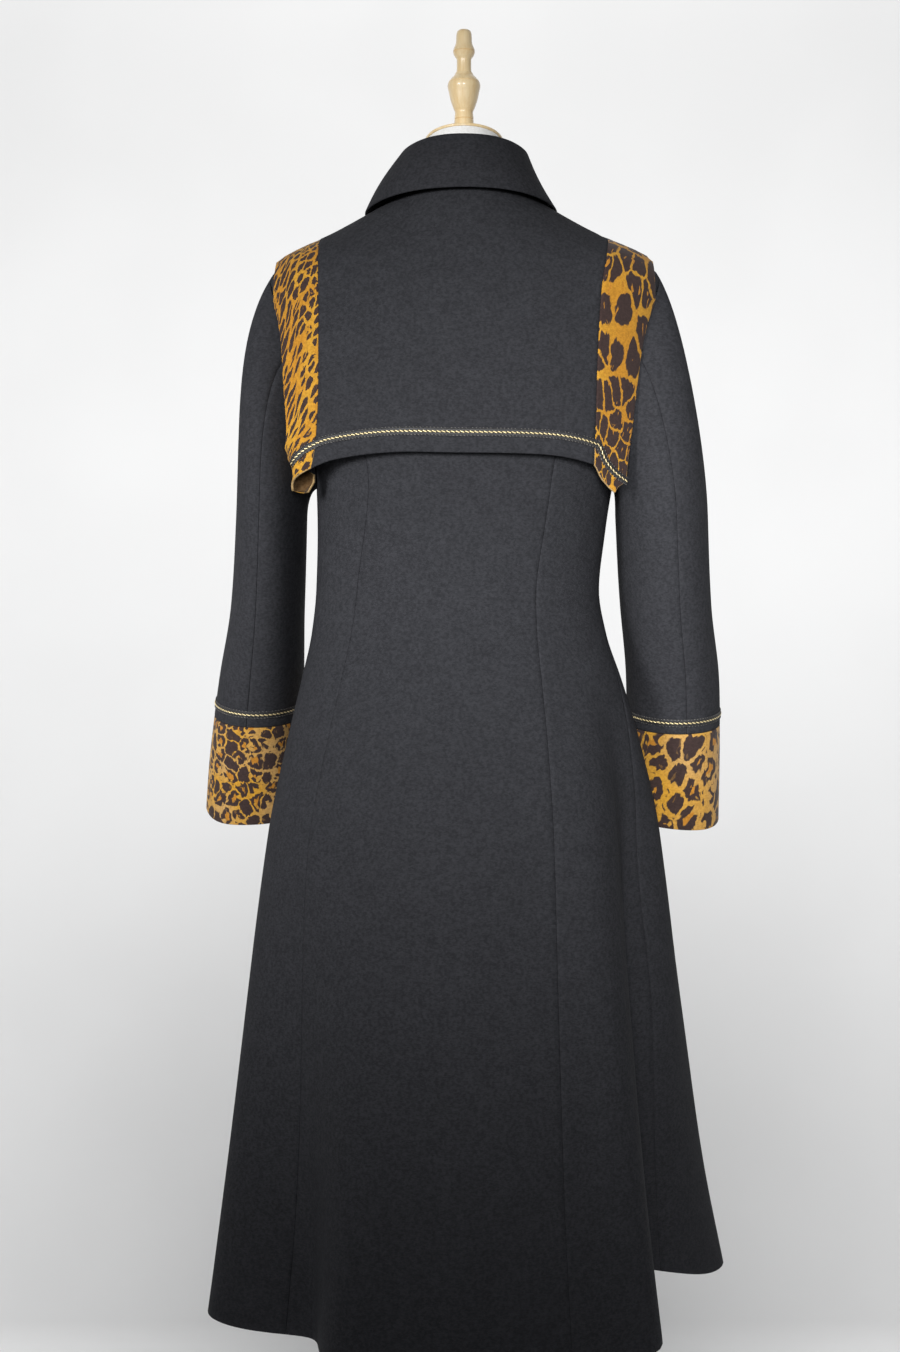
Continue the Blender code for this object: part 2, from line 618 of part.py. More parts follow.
def make_cape_piece(name, first, last, columns, heights, look):
    bearings, heights = cape_grid(first, last, columns, heights)
    grid = part_seams(cape_point(bearings, heights), SLANTED_GAP)
    wall(name, grid, normal_of(cape_point, bearings, heights), CLOTH, look)


def make_cape():
    inner = {side: partial(band_inner, side) for side in SIDES}
    outer = {side: partial(band_outer, side) for side in SIDES}
    make_cape_piece("cape_centre", inner["left"], inner["right"], 16, CAPE_HEIGHTS, WOOL)
    low = CAPE_HEIGHTS[CAPE_HEIGHTS <= BAND_TIP]
    for side in SIDES:
        make_cape_piece(f"cape_band_{side}", inner[side], outer[side], 5, low, PRINT)
    bearings = np.linspace(-BRAID_CAPE_END, BRAID_CAPE_END, 37)
    edge = cape_edge_height(bearings) + BRAID_ABOVE_EDGE
    heights = np.array([edge - BRAID_WIDTH / 2, edge + BRAID_WIDTH / 2])
    grid = cape_point(np.broadcast_to(bearings, heights.shape), heights)
    normals = grid_normals(grid)
    grid = grid + normals * (CLOTH / 2 + BRAID_CLEARANCE + BRAID / 2)
    wall("braid_cape", grid, normals, BRAID, GOLD)


def make_flaps():
    """Hip pocket flaps, sewn down along the top, with braid along the lower edge."""
    for side, sign in SIDES.items():
        bearings = sign * np.linspace(FLAP_BACK, FLAP_FRONT, 7)
        heights = np.linspace(FLAP_TOP, FLAP_BOTTOM, 3)[:, None]
        grid = flap_point(bearings[None, :], heights)
        normals = grid_normals(grid) * -sign
        wall(f"pocket_flap_{side}", grid, normals, CLOTH, PRINT)
        heights = FLAP_BOTTOM + FLAP_BRAID_RISE + np.array([BRAID_WIDTH, 0.0])[:, None]
        grid = flap_point(bearings[None, :], heights)
        normals = grid_normals(grid) * -sign
        grid = grid + normals * (CLOTH / 2 + 2 * SEAM_GAP + BRAID / 2)
        wall(f"braid_pocket_{side}", grid, normals, BRAID, GOLD)


def flap_point(bearing, height):
    bearing, height = np.broadcast_arrays(bearing, height)
    off = FLAP_OFF + FLAP_FLARE * (FLAP_TOP - height) / (FLAP_TOP - FLAP_BOTTOM)
    return body_point(bearing, height) + body_normal(bearing, height) * off[..., None]


def make_buttons():
    out = CLOTH / 2 + lap_rise(BUTTON_BEARING) + BUTTON_CLEARANCE
    for number, height in enumerate(BUTTON_HEIGHTS, 1):
        seat = body_point(BUTTON_BEARING, height)
        axis = body_normal(BUTTON_BEARING, height)
        side = unit(np.cross(axis, [0.0, 0.0, 1.0]))
        up = np.cross(side, axis)
        profile = (
            Turn(0.0, BUTTON_RADIUS * BUTTON_EDGE),
            Turn(BUTTON_THICKNESS * 0.4, BUTTON_RADIUS),
            Turn(BUTTON_THICKNESS, BUTTON_RADIUS * BUTTON_EDGE),
        )
        turned(f"button_{number}", profile, 12, HORN, (seat + axis * out, side, up, axis))


# The dress form


def turned(name, profile, sides, look, frame=None, slant=0.0):
    """A turned solid, closed flat at both ends. The frame is its origin and its three axes."""
    origin, right, ahead, axis = frame or (np.zeros(3), *np.eye(3))
    points = []
    for row, turn in enumerate(profile):
        for angle in np.linspace(0.0, 2.0 * math.pi, sides, endpoint=False):
            aside, forward = turn.radius * math.cos(angle), turn.radius * math.sin(angle)
            sheared = -slant * forward if row == 0 else 0.0
            points.append(origin + right * aside + ahead * forward + axis * (turn.height + sheared))
    faces = grid_faces(len(profile), sides, closed=True)
    last = (len(profile) - 1) * sides
    faces.append(list(range(sides))[::-1])
    faces.append(list(range(last, last + sides)))
    return solid(name, np.array(points), faces, look)


def make_torso():
    bearings = np.arange(TORSO_COLUMNS) * 360.0 / TORSO_COLUMNS
    rows = []
    for height in TORSO_HEIGHTS:
        inward = smooth(height, TORSO_INSETS, "inward")
        level = np.full(len(bearings), height)
        ring = body_point(bearings, level) - body_normal(bearings, level) * inward
        if height == TORSO_BOTTOM:
            ring[:, 2] = TORSO_BOTTOM
        rows.append(ring)
    turn = np.radians(bearings)
    for ring in NECK_RINGS:
        depth = np.where(np.cos(turn) > 0.0, ring.back, ring.front)
        across, along = ring.side * np.sin(turn), -depth * np.cos(turn)
        rise = -along * NECK_SLANT * (ring.height == NECK_TOP)
        drop = ring.front_drop * np.clip(-np.cos(turn), 0.0, None) ** DROP_POWER
        rows.append(np.stack([across, along, ring.height + rise - drop], axis=-1))
    points = np.array(rows).reshape(-1, 3)
    faces = grid_faces(len(rows), TORSO_COLUMNS, closed=True)
    last = (len(rows) - 1) * TORSO_COLUMNS
    faces.append(list(range(TORSO_COLUMNS))[::-1])
    faces.append(list(range(last, last + TORSO_COLUMNS)))
    solid("form_torso", points, faces, JERSEY)


def make_stand():
    tilt = math.atan(NECK_SLANT)
    ahead = np.array([0.0, math.cos(tilt), -math.sin(tilt)])
    axis = np.array([0.0, math.sin(tilt), math.cos(tilt)])
    seat = np.array([0.0, 0.0, NECK_TOP + SEAM_GAP])
    plate = (
        Turn(0.0, PLATE_RADIUS - PLATE_EDGE),
        Turn(PLATE_EDGE, PLATE_RADIUS),
        Turn(PLATE_THICKNESS - PLATE_EDGE, PLATE_RADIUS),
        Turn(PLATE_THICKNESS, PLATE_RADIUS - PLATE_EDGE),
    )
    turned("form_neck_plate", plate, 28, WOOD, (seat, np.array([1.0, 0.0, 0.0]), ahead, axis))
    turned("form_finial", FINIAL, 14, WOOD, slant=NECK_SLANT)
    pole = (Turn(BASE_THICKNESS + SEAM_GAP, POLE_RADIUS), Turn(TORSO_BOTTOM - SEAM_GAP, POLE_RADIUS))
    turned("form_pole", pole, 16, METAL)
    base = (
        Turn(0.0, BASE_RADIUS),
        Turn(BASE_THICKNESS - BASE_EDGE, BASE_RADIUS),
        Turn(BASE_THICKNESS, BASE_RADIUS - BASE_EDGE),
    )
    turned("form_base", base, 40, METAL)


for old in list(bpy.data.objects):
    bpy.data.objects.remove(old, do_unlink=True)
ROOT = bpy.data.objects.new("coat_on_form", None)
bpy.context.scene.collection.objects.link(ROOT)
WOOL = material("charcoal wool", (0.034, 0.036, 0.042), 0.9)
PRINT = material("leopard print", (0.45, 0.24, 0.06), 0.8)
GOLD = material("gold braid", (0.50, 0.38, 0.12), 0.45, 0.6)
HORN = material("black horn", (0.02, 0.02, 0.02), 0.35)
JERSEY = material("white jersey", (0.80, 0.79, 0.76), 0.8)
WOOD = material("pale turned wood", (0.80, 0.62, 0.36), 0.45)
METAL = material("white painted metal", (0.75, 0.74, 0.72), 0.4)
make_body()
make_sleeves()
make_collar()
make_cape()
make_flaps()
make_buttons()
make_torso()
make_stand()
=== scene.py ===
# %% [markdown]
# # A charcoal wool coat on its dress form
# The photograph shows a fitted coat from behind: a black wool body with a flared skirt, a short cape over
# the back with leopard print side bands, print cuffs, and gold braid. All sizes are in metres, +Z is up,
# the back faces -Y and +X is the wearer's right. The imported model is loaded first, because it fixes where
# every piece lies. Each finer piece made below then stands for one of its nodes.

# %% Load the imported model
import math
from collections import namedtuple

import bpy
import numpy as np
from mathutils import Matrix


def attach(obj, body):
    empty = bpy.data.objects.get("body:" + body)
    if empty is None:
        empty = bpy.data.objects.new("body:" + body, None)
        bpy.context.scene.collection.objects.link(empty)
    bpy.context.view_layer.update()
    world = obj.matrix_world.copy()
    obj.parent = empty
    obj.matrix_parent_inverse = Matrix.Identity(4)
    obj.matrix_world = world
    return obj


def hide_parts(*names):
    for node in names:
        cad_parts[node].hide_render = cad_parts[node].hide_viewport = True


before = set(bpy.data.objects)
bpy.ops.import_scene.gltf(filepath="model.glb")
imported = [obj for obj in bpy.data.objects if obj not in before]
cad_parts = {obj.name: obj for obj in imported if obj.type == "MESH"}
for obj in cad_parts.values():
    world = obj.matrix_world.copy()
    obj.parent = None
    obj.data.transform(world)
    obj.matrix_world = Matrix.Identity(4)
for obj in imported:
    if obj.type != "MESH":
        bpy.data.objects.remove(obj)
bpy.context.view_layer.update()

# %% [markdown]
# ## The cut of the coat
# A tailor keeps a coat as a few measured levels and draws smooth lines between them. Sculpting the cloth by
# hand would also work, but then two pieces that share a seam would never quite meet. So every surface here
# is a function of a bearing (0 is the centre back, 90 the right side, 180 the centre front) and a height,
# and pieces that share a seam share its points.

# %% Sizes of the body
CLOTH = 0.0024
SEAM_GAP = 0.0003
SEWN_GAP = 0.00004
HEM, ARMPIT, SHOULDER, NECK = 0.320, 1.150, 1.371, 1.436
ARMHOLE_SPREAD = 25.0
ARMHOLE_MIDDLE, ARMHOLE_HALF = (ARMPIT + SHOULDER) / 2, (SHOULDER - ARMPIT) / 2
SIDES = {"left": -1.0, "right": 1.0}
Section = namedtuple("Section", "height left right back front back_drop front_drop", defaults=(0.0, 0.0))
SECTIONS = (
    Section(0.320, 0.237, 0.231, 0.245, 0.215),
    Section(0.427, 0.228, 0.224, 0.225, 0.200),
    Section(0.626, 0.213, 0.2145, 0.194, 0.172),
    Section(0.800, 0.1965, 0.1985, 0.163, 0.148),
    Section(0.900, 0.177, 0.176, 0.131, 0.125),
    Section(0.955, 0.164, 0.159, 0.113, 0.113),
    Section(1.000, 0.154, 0.144, 0.098, 0.103),
    Section(1.045, 0.149, 0.1365, 0.091, 0.098),
    Section(1.100, 0.1475, 0.142, 0.096, 0.107),
    Section(1.150, 0.149, 0.150, 0.105, 0.119),
    Section(1.207, 0.170, 0.168, 0.112, 0.124),
    Section(1.265, 0.188, 0.184, 0.115, 0.120),
    Section(1.315, 0.196, 0.194, 0.114, 0.109, 0.004, 0.003),
    Section(1.352, 0.200, 0.201, 0.109, 0.094, 0.010, 0.009),
    Section(1.371, 0.189, 0.192, 0.104, 0.086, 0.014, 0.015),
    Section(1.402, 0.127, 0.129, 0.095, 0.073, 0.013, 0.030),
    Section(1.436, 0.065, 0.065, 0.082, 0.066, 0.000, 0.050),
)
DROP_POWER = 1.5
Fold = namedtuple("Fold", "bearing spread out start growth lift lean", defaults=(0.0, 0.0))
FOLDS = (
    Fold(-76.0, 14.0, 0.024, 0.92, 1.4, 0.004),
    Fold(-50.0, 13.0, -0.046, 0.80, 1.3),
    Fold(-27.0, 8.0, 0.012, 0.76, 1.2),
    Fold(4.0, 14.0, 0.004, 0.70, 1.4),
    Fold(48.5, 9.0, 0.014, 0.92, 0.9, 0.000, -31.0),
    Fold(74.5, 14.0, -0.080, 0.95, 0.8, 0.046, -22.0),
    Fold(92.0, 12.0, 0.000, 0.70, 1.4, 0.014),
    Fold(116.0, 17.0, 0.071, 0.91, 1.4, 0.012),
    Fold(134.0, 10.0, -0.012, 0.80, 1.4),
    Fold(155.0, 13.0, 0.012, 0.78, 1.4),
    Fold(-104.0, 11.0, -0.016, 0.82, 1.4),
    Fold(-131.0, 14.0, 0.020, 0.84, 1.4, 0.004),
    Fold(-156.0, 9.0, -0.008, 0.70, 1.4),
)
Seams = namedtuple("Seams", "height left_side left_back right_back right_side")
SEAMS = (
    Seams(0.320, -91.0, -57.0, 25.0, 87.0),
    Seams(0.600, -91.0, -51.5, 24.0, 80.0),
    Seams(0.800, -91.0, -50.0, 25.0, 72.0),
    Seams(0.940, -90.0, -47.5, 27.5, 75.0),
    Seams(1.045, -90.0, -45.0, 31.0, 86.0),
    Seams(1.150, -90.0, -39.0, 34.5, 90.0),
    Seams(1.440, -90.0, -37.0, 34.5, 90.0),
)
print(len(SECTIONS), "levels,", len(FOLDS), "folds")

# %% [markdown]
# A monotone cubic goes through each column of a table without overshooting, as a draughtsman's spline does.
# The folds of the skirt are bell-shaped ridges and valleys that start at the hip and deepen to the hem.

# %% Curves and the body's surface
NEAR_UP, NEAR_ROUND = 0.002, 0.5


def cubic(t, start, leave, end, arrive):
    """From start to end as t goes from 0 to 1, with the given directions at both ends."""
    first = (1.0 + 2.0 * t) * (1.0 - t) ** 2 * start + t * (1.0 - t) ** 2 * leave
    return first + t * t * (3.0 - 2.0 * t) * end + t * t * (t - 1.0) * arrive


def smooth(at, table, column):
    knots = np.array([row[0] for row in table])
    values = np.array([getattr(row, column) for row in table])
    step = np.diff(knots)
    slope = np.diff(values) / step
    tangent = np.empty(len(knots))
    tangent[0], tangent[-1] = slope[0], slope[-1]
    before, after = slope[:-1], slope[1:]
    total = np.where(before + after == 0.0, 1.0, before + after)
    tangent[1:-1] = np.where(before * after > 0.0, 2.0 * before * after / total, 0.0)
    at = np.clip(at, knots[0], knots[-1])
    i = np.clip(np.searchsorted(knots, at) - 1, 0, len(step) - 1)
    leave, arrive = step[i] * tangent[i], step[i] * tangent[i + 1]
    return cubic((at - knots[i]) / step[i], values[i], leave, values[i + 1], arrive)


def columns_at(at, table):
    return (smooth(at, table, column) for column in table[0]._fields[1:])


def ease(value):
    value = np.clip(value, 0.0, 1.0)
    return value * value * (3.0 - 2.0 * value)


def unit(vectors):
    return vectors / np.linalg.norm(vectors, axis=-1, keepdims=True)


def xyz(*parts):
    return np.stack(np.broadcast_arrays(*parts), axis=-1)


def compass(bearing):
    """How far a bearing points across to the right and along to the front."""
    return np.sin(np.radians(bearing)), -np.cos(np.radians(bearing))


def fold_shift(bearing, height):
    out = np.zeros(np.broadcast(bearing, height).shape)
    lift = np.zeros(out.shape)
    for fold in FOLDS:
        turned = (bearing - fold.bearing - fold.lean * (height - HEM) + 180.0) % 360.0 - 180.0
        grown = np.clip((fold.start - height) / (fold.start - HEM), 0.0, None) ** fold.growth
        share = grown * np.exp(-((turned / fold.spread) ** 2))
        out = out + fold.out * share
        lift = lift + fold.lift * share
    return out, lift


def body_point(bearing, height):
    bearing, height = np.broadcast_arrays(np.asarray(bearing, float), np.asarray(height, float))
    across, along = compass(bearing)
    left, right, back, front, back_drop, front_drop = columns_at(height, SECTIONS)
    width, depth = np.where(across > 0.0, right, left), np.where(along > 0.0, front, back)
    out, lift = fold_shift(bearing, height)
    level = height + lift - np.where(along > 0.0, front_drop, back_drop) * np.abs(along) ** DROP_POWER
    return xyz(across * (width + out), along * (depth + out), level)


def normal_of(surface, bearing, height):
    low, high = np.maximum(height - NEAR_UP, HEM), np.minimum(height + NEAR_UP, NECK)
    along = surface(bearing + NEAR_ROUND, height) - surface(bearing - NEAR_ROUND, height)
    return unit(np.cross(along, surface(bearing, high) - surface(bearing, low)))


def body_normal(bearing, height):
    return normal_of(body_point, bearing, height)


def off_body(bearing, height, off):
    """The body's surface, moved out along its normal."""
    return body_point(bearing, height) + body_normal(bearing, height) * np.asarray(off)[..., None]


def armhole_spread(height):
    reach = np.clip((height - ARMHOLE_MIDDLE) / ARMHOLE_HALF, -1.0, 1.0)
    return ARMHOLE_SPREAD * np.sqrt(1.0 - reach**2)


print("waist half widths", np.round(body_point(np.array([-90.0, 90.0]), 1.045)[:, 0], 4))

# %% [markdown]
# ## Cloth as a mesh
# Real coat cloth is two or three millimetres thick and its edges are rolled. A flat sheet with a Solidify
# modifier gives square edges. Instead a grid of points in the middle of the cloth is moved half the
# thickness out and in, and three loops of points round the rim turn the edge over softly. A slow ripple of
# at most a millimetre, the same for every piece at the same place, takes away the drawn perfection.

# %% Mesh helpers
SEAM_RIM, EDGE_RIM = 0.00045, 0.0011
RIM_ANGLES = np.radians((50.0, 0.0, -50.0))
RIPPLE = 0.0005
Wave = namedtuple("Wave", "x y z phase")
RIPPLE_WAVES = (
    (Wave(29.0, 0.0, 0.0, 1.3), Wave(0.0, 11.0, 21.0, 0.4)),
    (Wave(0.0, -13.0, 17.0, 2.1), Wave(37.0, 9.0, 0.0, 0.7)),
)
made_pieces = {}


def ripple(points):
    return RIPPLE * sum(
        np.sin(points @ first[:3] + first.phase) * np.sin(points @ second[:3] + second.phase)
        for first, second in RIPPLE_WAVES
    )


def grid_faces(rows, columns, closed=False):
    ids = np.arange(rows * columns).reshape(rows, columns)
    after = np.roll(ids, -1, axis=1) if closed else ids[:, 1:]
    before = ids if closed else ids[:, :-1]
    return np.stack([before[:-1], after[:-1], after[1:], before[1:]], axis=-1).reshape(-1, 4)


def capped_faces(rows, columns):
    """Faces of a row of rings, with the first and the last ring closed by a face each."""
    ring, last = list(range(columns)), (rows - 1) * columns
    return grid_faces(rows, columns, closed=True).tolist() + [ring[::-1], [last + i for i in ring]]


def mesh_of(name, points, faces, looks, look_of_face=None, uvs=None, period=0.0):
    """A smooth mesh facing out. Faces that cross a wrap of u by one period are kept whole in the UV map."""
    first, second, third = (points[[face[i] for face in faces]] for i in range(3))
    if np.sum(first * np.cross(second, third)) < 0.0:
        faces = [face[::-1] for face in faces]
    mesh = bpy.data.meshes.new(name)
    mesh.from_pydata(points.tolist(), [], [list(map(int, face)) for face in faces])
    for look in looks:
        mesh.materials.append(look)
    if look_of_face is not None:
        mesh.polygons.foreach_set("material_index", np.asarray(look_of_face, np.int32))
    mesh.shade_smooth()
    if uvs is not None:
        corner = np.empty(len(mesh.loops), np.int32)
        mesh.loops.foreach_get("vertex_index", corner)
        placed = uvs[corner]
        if period:
            count = np.array([len(face) for face in faces])
            starts = np.concatenate([[0], np.cumsum(count)[:-1]])
            highest = np.repeat(np.maximum.reduceat(placed[:, 0], starts), count)
            placed[:, 0] += period * (placed[:, 0] < highest - period / 2)
        mesh.uv_layers.new(name="cloth").data.foreach_set("uv", placed.astype(np.float32).ravel())
    piece = bpy.data.objects.new(name, mesh)
    bpy.context.scene.collection.objects.link(piece)
    return piece


def settle(piece, node):
    """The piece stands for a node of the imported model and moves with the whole."""
    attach(piece, "root")
    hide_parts(node)
    made_pieces[node] = piece


def arc(grid, axis):
    """Length along one axis of a grid, from the first point to each point."""
    steps = np.linalg.norm(np.diff(grid, axis=axis), axis=-1)
    start = np.zeros_like(np.take(steps, [0], axis=axis))
    return np.cumsum(np.concatenate([start, steps], axis=axis), axis=axis)


def drawn_in(grid, axis, first, last):
    """Steps inwards at the two ends of an axis of a grid, and none between."""
    steps = np.zeros_like(grid)
    lines, moved = np.moveaxis(grid, axis, 0), np.moveaxis(steps, axis, 0)
    moved[0], moved[-1] = unit(lines[1] - lines[0]) * first, unit(lines[-2] - lines[-1]) * last
    return steps


print("a capped tube of 3 rings of 8 has", len(capped_faces(3, 8)), "faces")

# %% Cloth with rolled edges
ALL_EDGES, AREA_MARGIN = 9.0, 0.999
SEWN_RIMS = (EDGE_RIM, EDGE_RIM, SEAM_RIM, SEAM_RIM)


def cloth(
    node, grid, normals, looks, slot, held="draped", on="form_torso",
    closed=False, uvs=None, rims=SEWN_RIMS, cut_below=ALL_EDGES,
):
    """A piece of cloth from the grid of its middle.

    Looks are those of its right side, its cut edge and its wrong side. Rims are the radii of the first row,
    the last row, the first column and the last column. Edges above cut_below are covered by the right side.
    """
    grid = grid + normals * ripple(grid)[..., None]
    rows, columns = grid.shape[:2]
    first_row, last_row, first_column, last_column = rims
    pull = drawn_in(grid, 0, first_row, last_row)
    if not closed:
        pull = pull + drawn_in(grid, 1, first_column, last_column)
    inset, half = grid + pull, normals * CLOTH / 2
    ids = np.arange(rows * columns).reshape(rows, columns)
    if closed:
        loops = [ids[0], ids[-1, ::-1]]
    else:
        loops = [np.concatenate([ids[0, :-1], ids[:-1, -1], ids[-1, :0:-1], ids[:0:-1, 0]])]
    points = [(inset + half).reshape(-1, 3), (inset - half).reshape(-1, 3)]
    right = grid_faces(rows, columns, closed)
    wrong = right[:, ::-1] + ids.size
    corners = np.concatenate([ids.ravel(), ids.ravel()])
    strips = []
    start = 2 * ids.size
    for loop in loops:
        rings = [loop]
        for angle in RIM_ANGLES:
            edge = inset - pull * math.cos(angle) + half * math.sin(angle)
            points.append(edge.reshape(-1, 3)[loop])
            corners = np.concatenate([corners, loop])
            rings.append(start + np.arange(len(loop)))
            start += len(loop)
        rings.append(loop + ids.size)
        for near, far in zip(rings[:-1], rings[1:]):
            strips.append(np.stack([np.roll(near, -1), near, far, np.roll(far, -1)], axis=-1))
    rim = np.concatenate(strips)
    faces = np.concatenate([right, rim, wrong])
    points = np.concatenate(points)
    look_of_face = np.repeat([0, 1, 2], [len(right), len(rim), len(wrong)])
    look_of_face[len(right) : len(right) + len(rim)] = points[rim[:, 0], 2] < cut_below
    period = 0.0
    around = np.concatenate([grid, grid[:, :1]], axis=1) if closed else grid
    if uvs is None:
        uvs = xyz(arc(around, 1)[:, :columns], arc(grid, 0))
    if closed:
        period = float(arc(around, 1)[0, -1])
    piece = mesh_of(f"{node}_cloth", points, faces, looks, look_of_face, uvs.reshape(-1, 2)[corners], period)
    settle(piece, node)
    wide, long = float(arc(around, 1)[:, -1].max()), float(arc(grid, 0)[-1].max())
    crossed = np.cross(around[1:, 1:] - around[:-1, :-1], around[1:, :-1] - around[:-1, 1:])
    area = min(float(np.linalg.norm(crossed, axis=-1).sum()) / 2, wide * long)
    flat, area = (round(wide, 3), round(long, 3)), round(area * AREA_MARGIN, 4)
    print(f"{node}: {rows} by {columns} points, cut {wide:.3f} by {long:.3f} m, {area:.4f} square metres")


# %% Rows, seams and normals
BODY_STEP = 0.0085


def spread(knots, gap):
    """Values from knot to knot, no further apart than the gap."""
    rows = [np.array(knots[:1])]
    for low, high in zip(knots[:-1], knots[1:]):
        count = max(1, math.ceil(abs(high - low) / gap))
        rows.append(low + (high - low) * np.arange(1, count + 1) / count)
    return np.concatenate(rows)


def between(first, last, columns):
    share = np.linspace(0.0, 1.0, columns + 1)
    return first[:, None] * (1.0 - share) + last[:, None] * share


def part_seams(grid):
    return grid + drawn_in(grid, 1, SEWN_GAP / 2, SEWN_GAP / 2)


def grid_normals(grid, closed=False):
    if closed:
        along = np.roll(grid, -1, axis=1) - np.roll(grid, 1, axis=1)
    else:
        along = np.gradient(grid, axis=1)
    return unit(np.cross(along, np.gradient(grid, axis=0)))


BODY_ROWS = spread((HEM, ARMPIT, SHOULDER, NECK), BODY_STEP)
print(len(BODY_ROWS), "rows from hem to neck")

# %% [markdown]
# ## Finishes
# The wool, the print and the cape's wrong side are all napped cloth: short fibres lie on the surface, catch
# light at a glancing angle and break the colour into fine specks. That is one node group, placed in each of
# these materials with its own values. A short helper adds nodes, so that each finish reads as a list.

# %% Node helpers


def add(tree, kind, *feeds, out=0, **settings):
    """A node with its settings. Feeds are (input, value or socket) pairs. The result is one output socket."""
    made = tree.nodes.new("ShaderNode" + kind)
    for name, value in settings.items():
        setattr(made, name, value)
    for key, value in feeds:
        if isinstance(value, bpy.types.NodeSocket):
            tree.links.new(value, made.inputs[key])
        else:
            made.inputs[key].default_value = value
    return made.outputs[out]


def tree_of(*values):
    """The tree of the first socket among some values, so that the helpers below need not be told it."""
    return next(value.id_data for value in values if isinstance(value, bpy.types.NodeSocket))


def sums(operation, first, second=0.0, third=0.0):
    tree = tree_of(first, second, third)
    return add(tree, "Math", (0, first), (1, second), (2, third), operation=operation)


def vectors(operation, first, second, out=0):
    return add(tree_of(first), "VectorMath", (0, first), (1, second), out=out, operation=operation)


def noise(vector, scale, detail, *more, out=0):
    feeds = (("Vector", vector), ("Scale", scale), ("Detail", detail), *more)
    return add(tree_of(vector), "TexNoise", *feeds, out=out)


def ramp(value, low, high, to_low=0.0, to_high=1.0):
    feeds = ((0, value), (1, low), (2, high), (3, to_low), (4, to_high))
    return add(tree_of(value), "MapRange", *feeds, interpolation_type="SMOOTHSTEP")


def blend(share, first, second, mode="MIX"):
    feeds = ((0, share), (6, first), (7, second))
    return add(tree_of(share, first, second), "Mix", *feeds, out=2, data_type="RGBA", blend_type=mode)


def grey(value):
    return add(tree_of(value), "CombineColor", (0, value), (1, value), (2, value))


def new_group(name, inputs, outputs):
    """A node group. An input without a value is a vector, and the others are numbers."""
    group = bpy.data.node_groups.new(name, "ShaderNodeTree")
    for title, value in inputs.items():
        kind = "NodeSocketVector" if value is None else "NodeSocketFloat"
        socket = group.interface.new_socket(name=title, in_out="INPUT", socket_type=kind)
        if value is not None:
            socket.default_value = value
    for title in outputs:
        group.interface.new_socket(name=title, in_out="OUTPUT", socket_type="NodeSocketFloat")
    enter, leave = group.nodes.new("NodeGroupInput"), group.nodes.new("NodeGroupOutput")
    return group, enter.outputs, leave.inputs


def give(leave, **values):
    for key, value in values.items():
        tree_of(value).links.new(value, leave[key])


def place(tree, group, **values):
    return add(tree, "Group", *values.items(), node_tree=group).node.outputs


def new_look(name, **sockets):
    """A material with constants set on its shader. The result is the material, its tree and its shader."""
    look = bpy.data.materials.new(name)
    look.use_nodes = True
    shader = look.node_tree.nodes["Principled BSDF"]
    for key, value in sockets.items():
        shader.inputs[key.replace("_", " ")].default_value = value
    return look, look.node_tree, shader


def paint(shader, colour, shade=None):
    """The colour goes to the shader, multiplied by a grey where a shade is given."""
    if shade is not None:
        colour = blend(1.0, colour, grey(shade), "MULTIPLY")
    shader.id_data.links.new(colour, shader.inputs["Base Color"])


def bump(shader, height, strength, distance):
    feeds = (("Strength", strength), ("Distance", distance), ("Height", height))
    tree = tree_of(height)
    tree.links.new(add(tree, "Bump", *feeds), shader.inputs["Normal"])


# %% Nap of the cloth
NAP_LAY = (0.55, 0.55, 1.25)
FLECK_SCALE, FLECK_SHARE = 0.42, 0.45
nap, enter, leave = new_group(
    "cloth nap", {"Fibre size": 0.0014, "Mottle size": 0.016}, ("Fibre", "Mottle", "Height")
)
here = add(nap, "TexCoord", out=3)
fibre_scale = sums("DIVIDE", 1.0, enter["Fibre size"])
fleck_scale = sums("MULTIPLY", fibre_scale, FLECK_SCALE)
fibre = noise(vectors("MULTIPLY", here, NAP_LAY), fibre_scale, 3.0, ("Roughness", 0.62))
fleck = noise(here, fleck_scale, 2.0)
mottle = noise(here, sums("DIVIDE", 1.0, enter["Mottle size"]), 2.0)
mixed = sums("MULTIPLY_ADD", fleck, FLECK_SHARE, sums("MULTIPLY", fibre, 1.0 - FLECK_SHARE))
give(leave, Fibre=ramp(mixed, 0.36, 0.64), Mottle=mottle, Height=mixed)
print("group:", nap.name)

# %% [markdown]
# The wool is a heavy charcoal melton. Its colour moves between two near blacks with the fibres, and a slow
# mottle shades it as brushing does. The brown wrong side and the tan cut edge of the print are the same
# recipe in warmer colours, with a little sheen on the shader for their longer pile.

# %% Charcoal wool


def napped_look(name, dark, light, fibre_size, mottle, **sockets):
    look, tree, shader = new_look(name, Roughness=0.92, Specular_IOR_Level=0.08, **sockets)
    fuzz = place(tree, nap, **{"Fibre size": fibre_size})
    base = blend(fuzz["Fibre"], (*dark, 1.0), (*light, 1.0))
    paint(shader, base, ramp(fuzz["Mottle"], 0.25, 0.75, 1.0 - mottle, 1.0 + mottle))
    bump(shader, fuzz["Height"], 0.5, 0.0008)
    return look


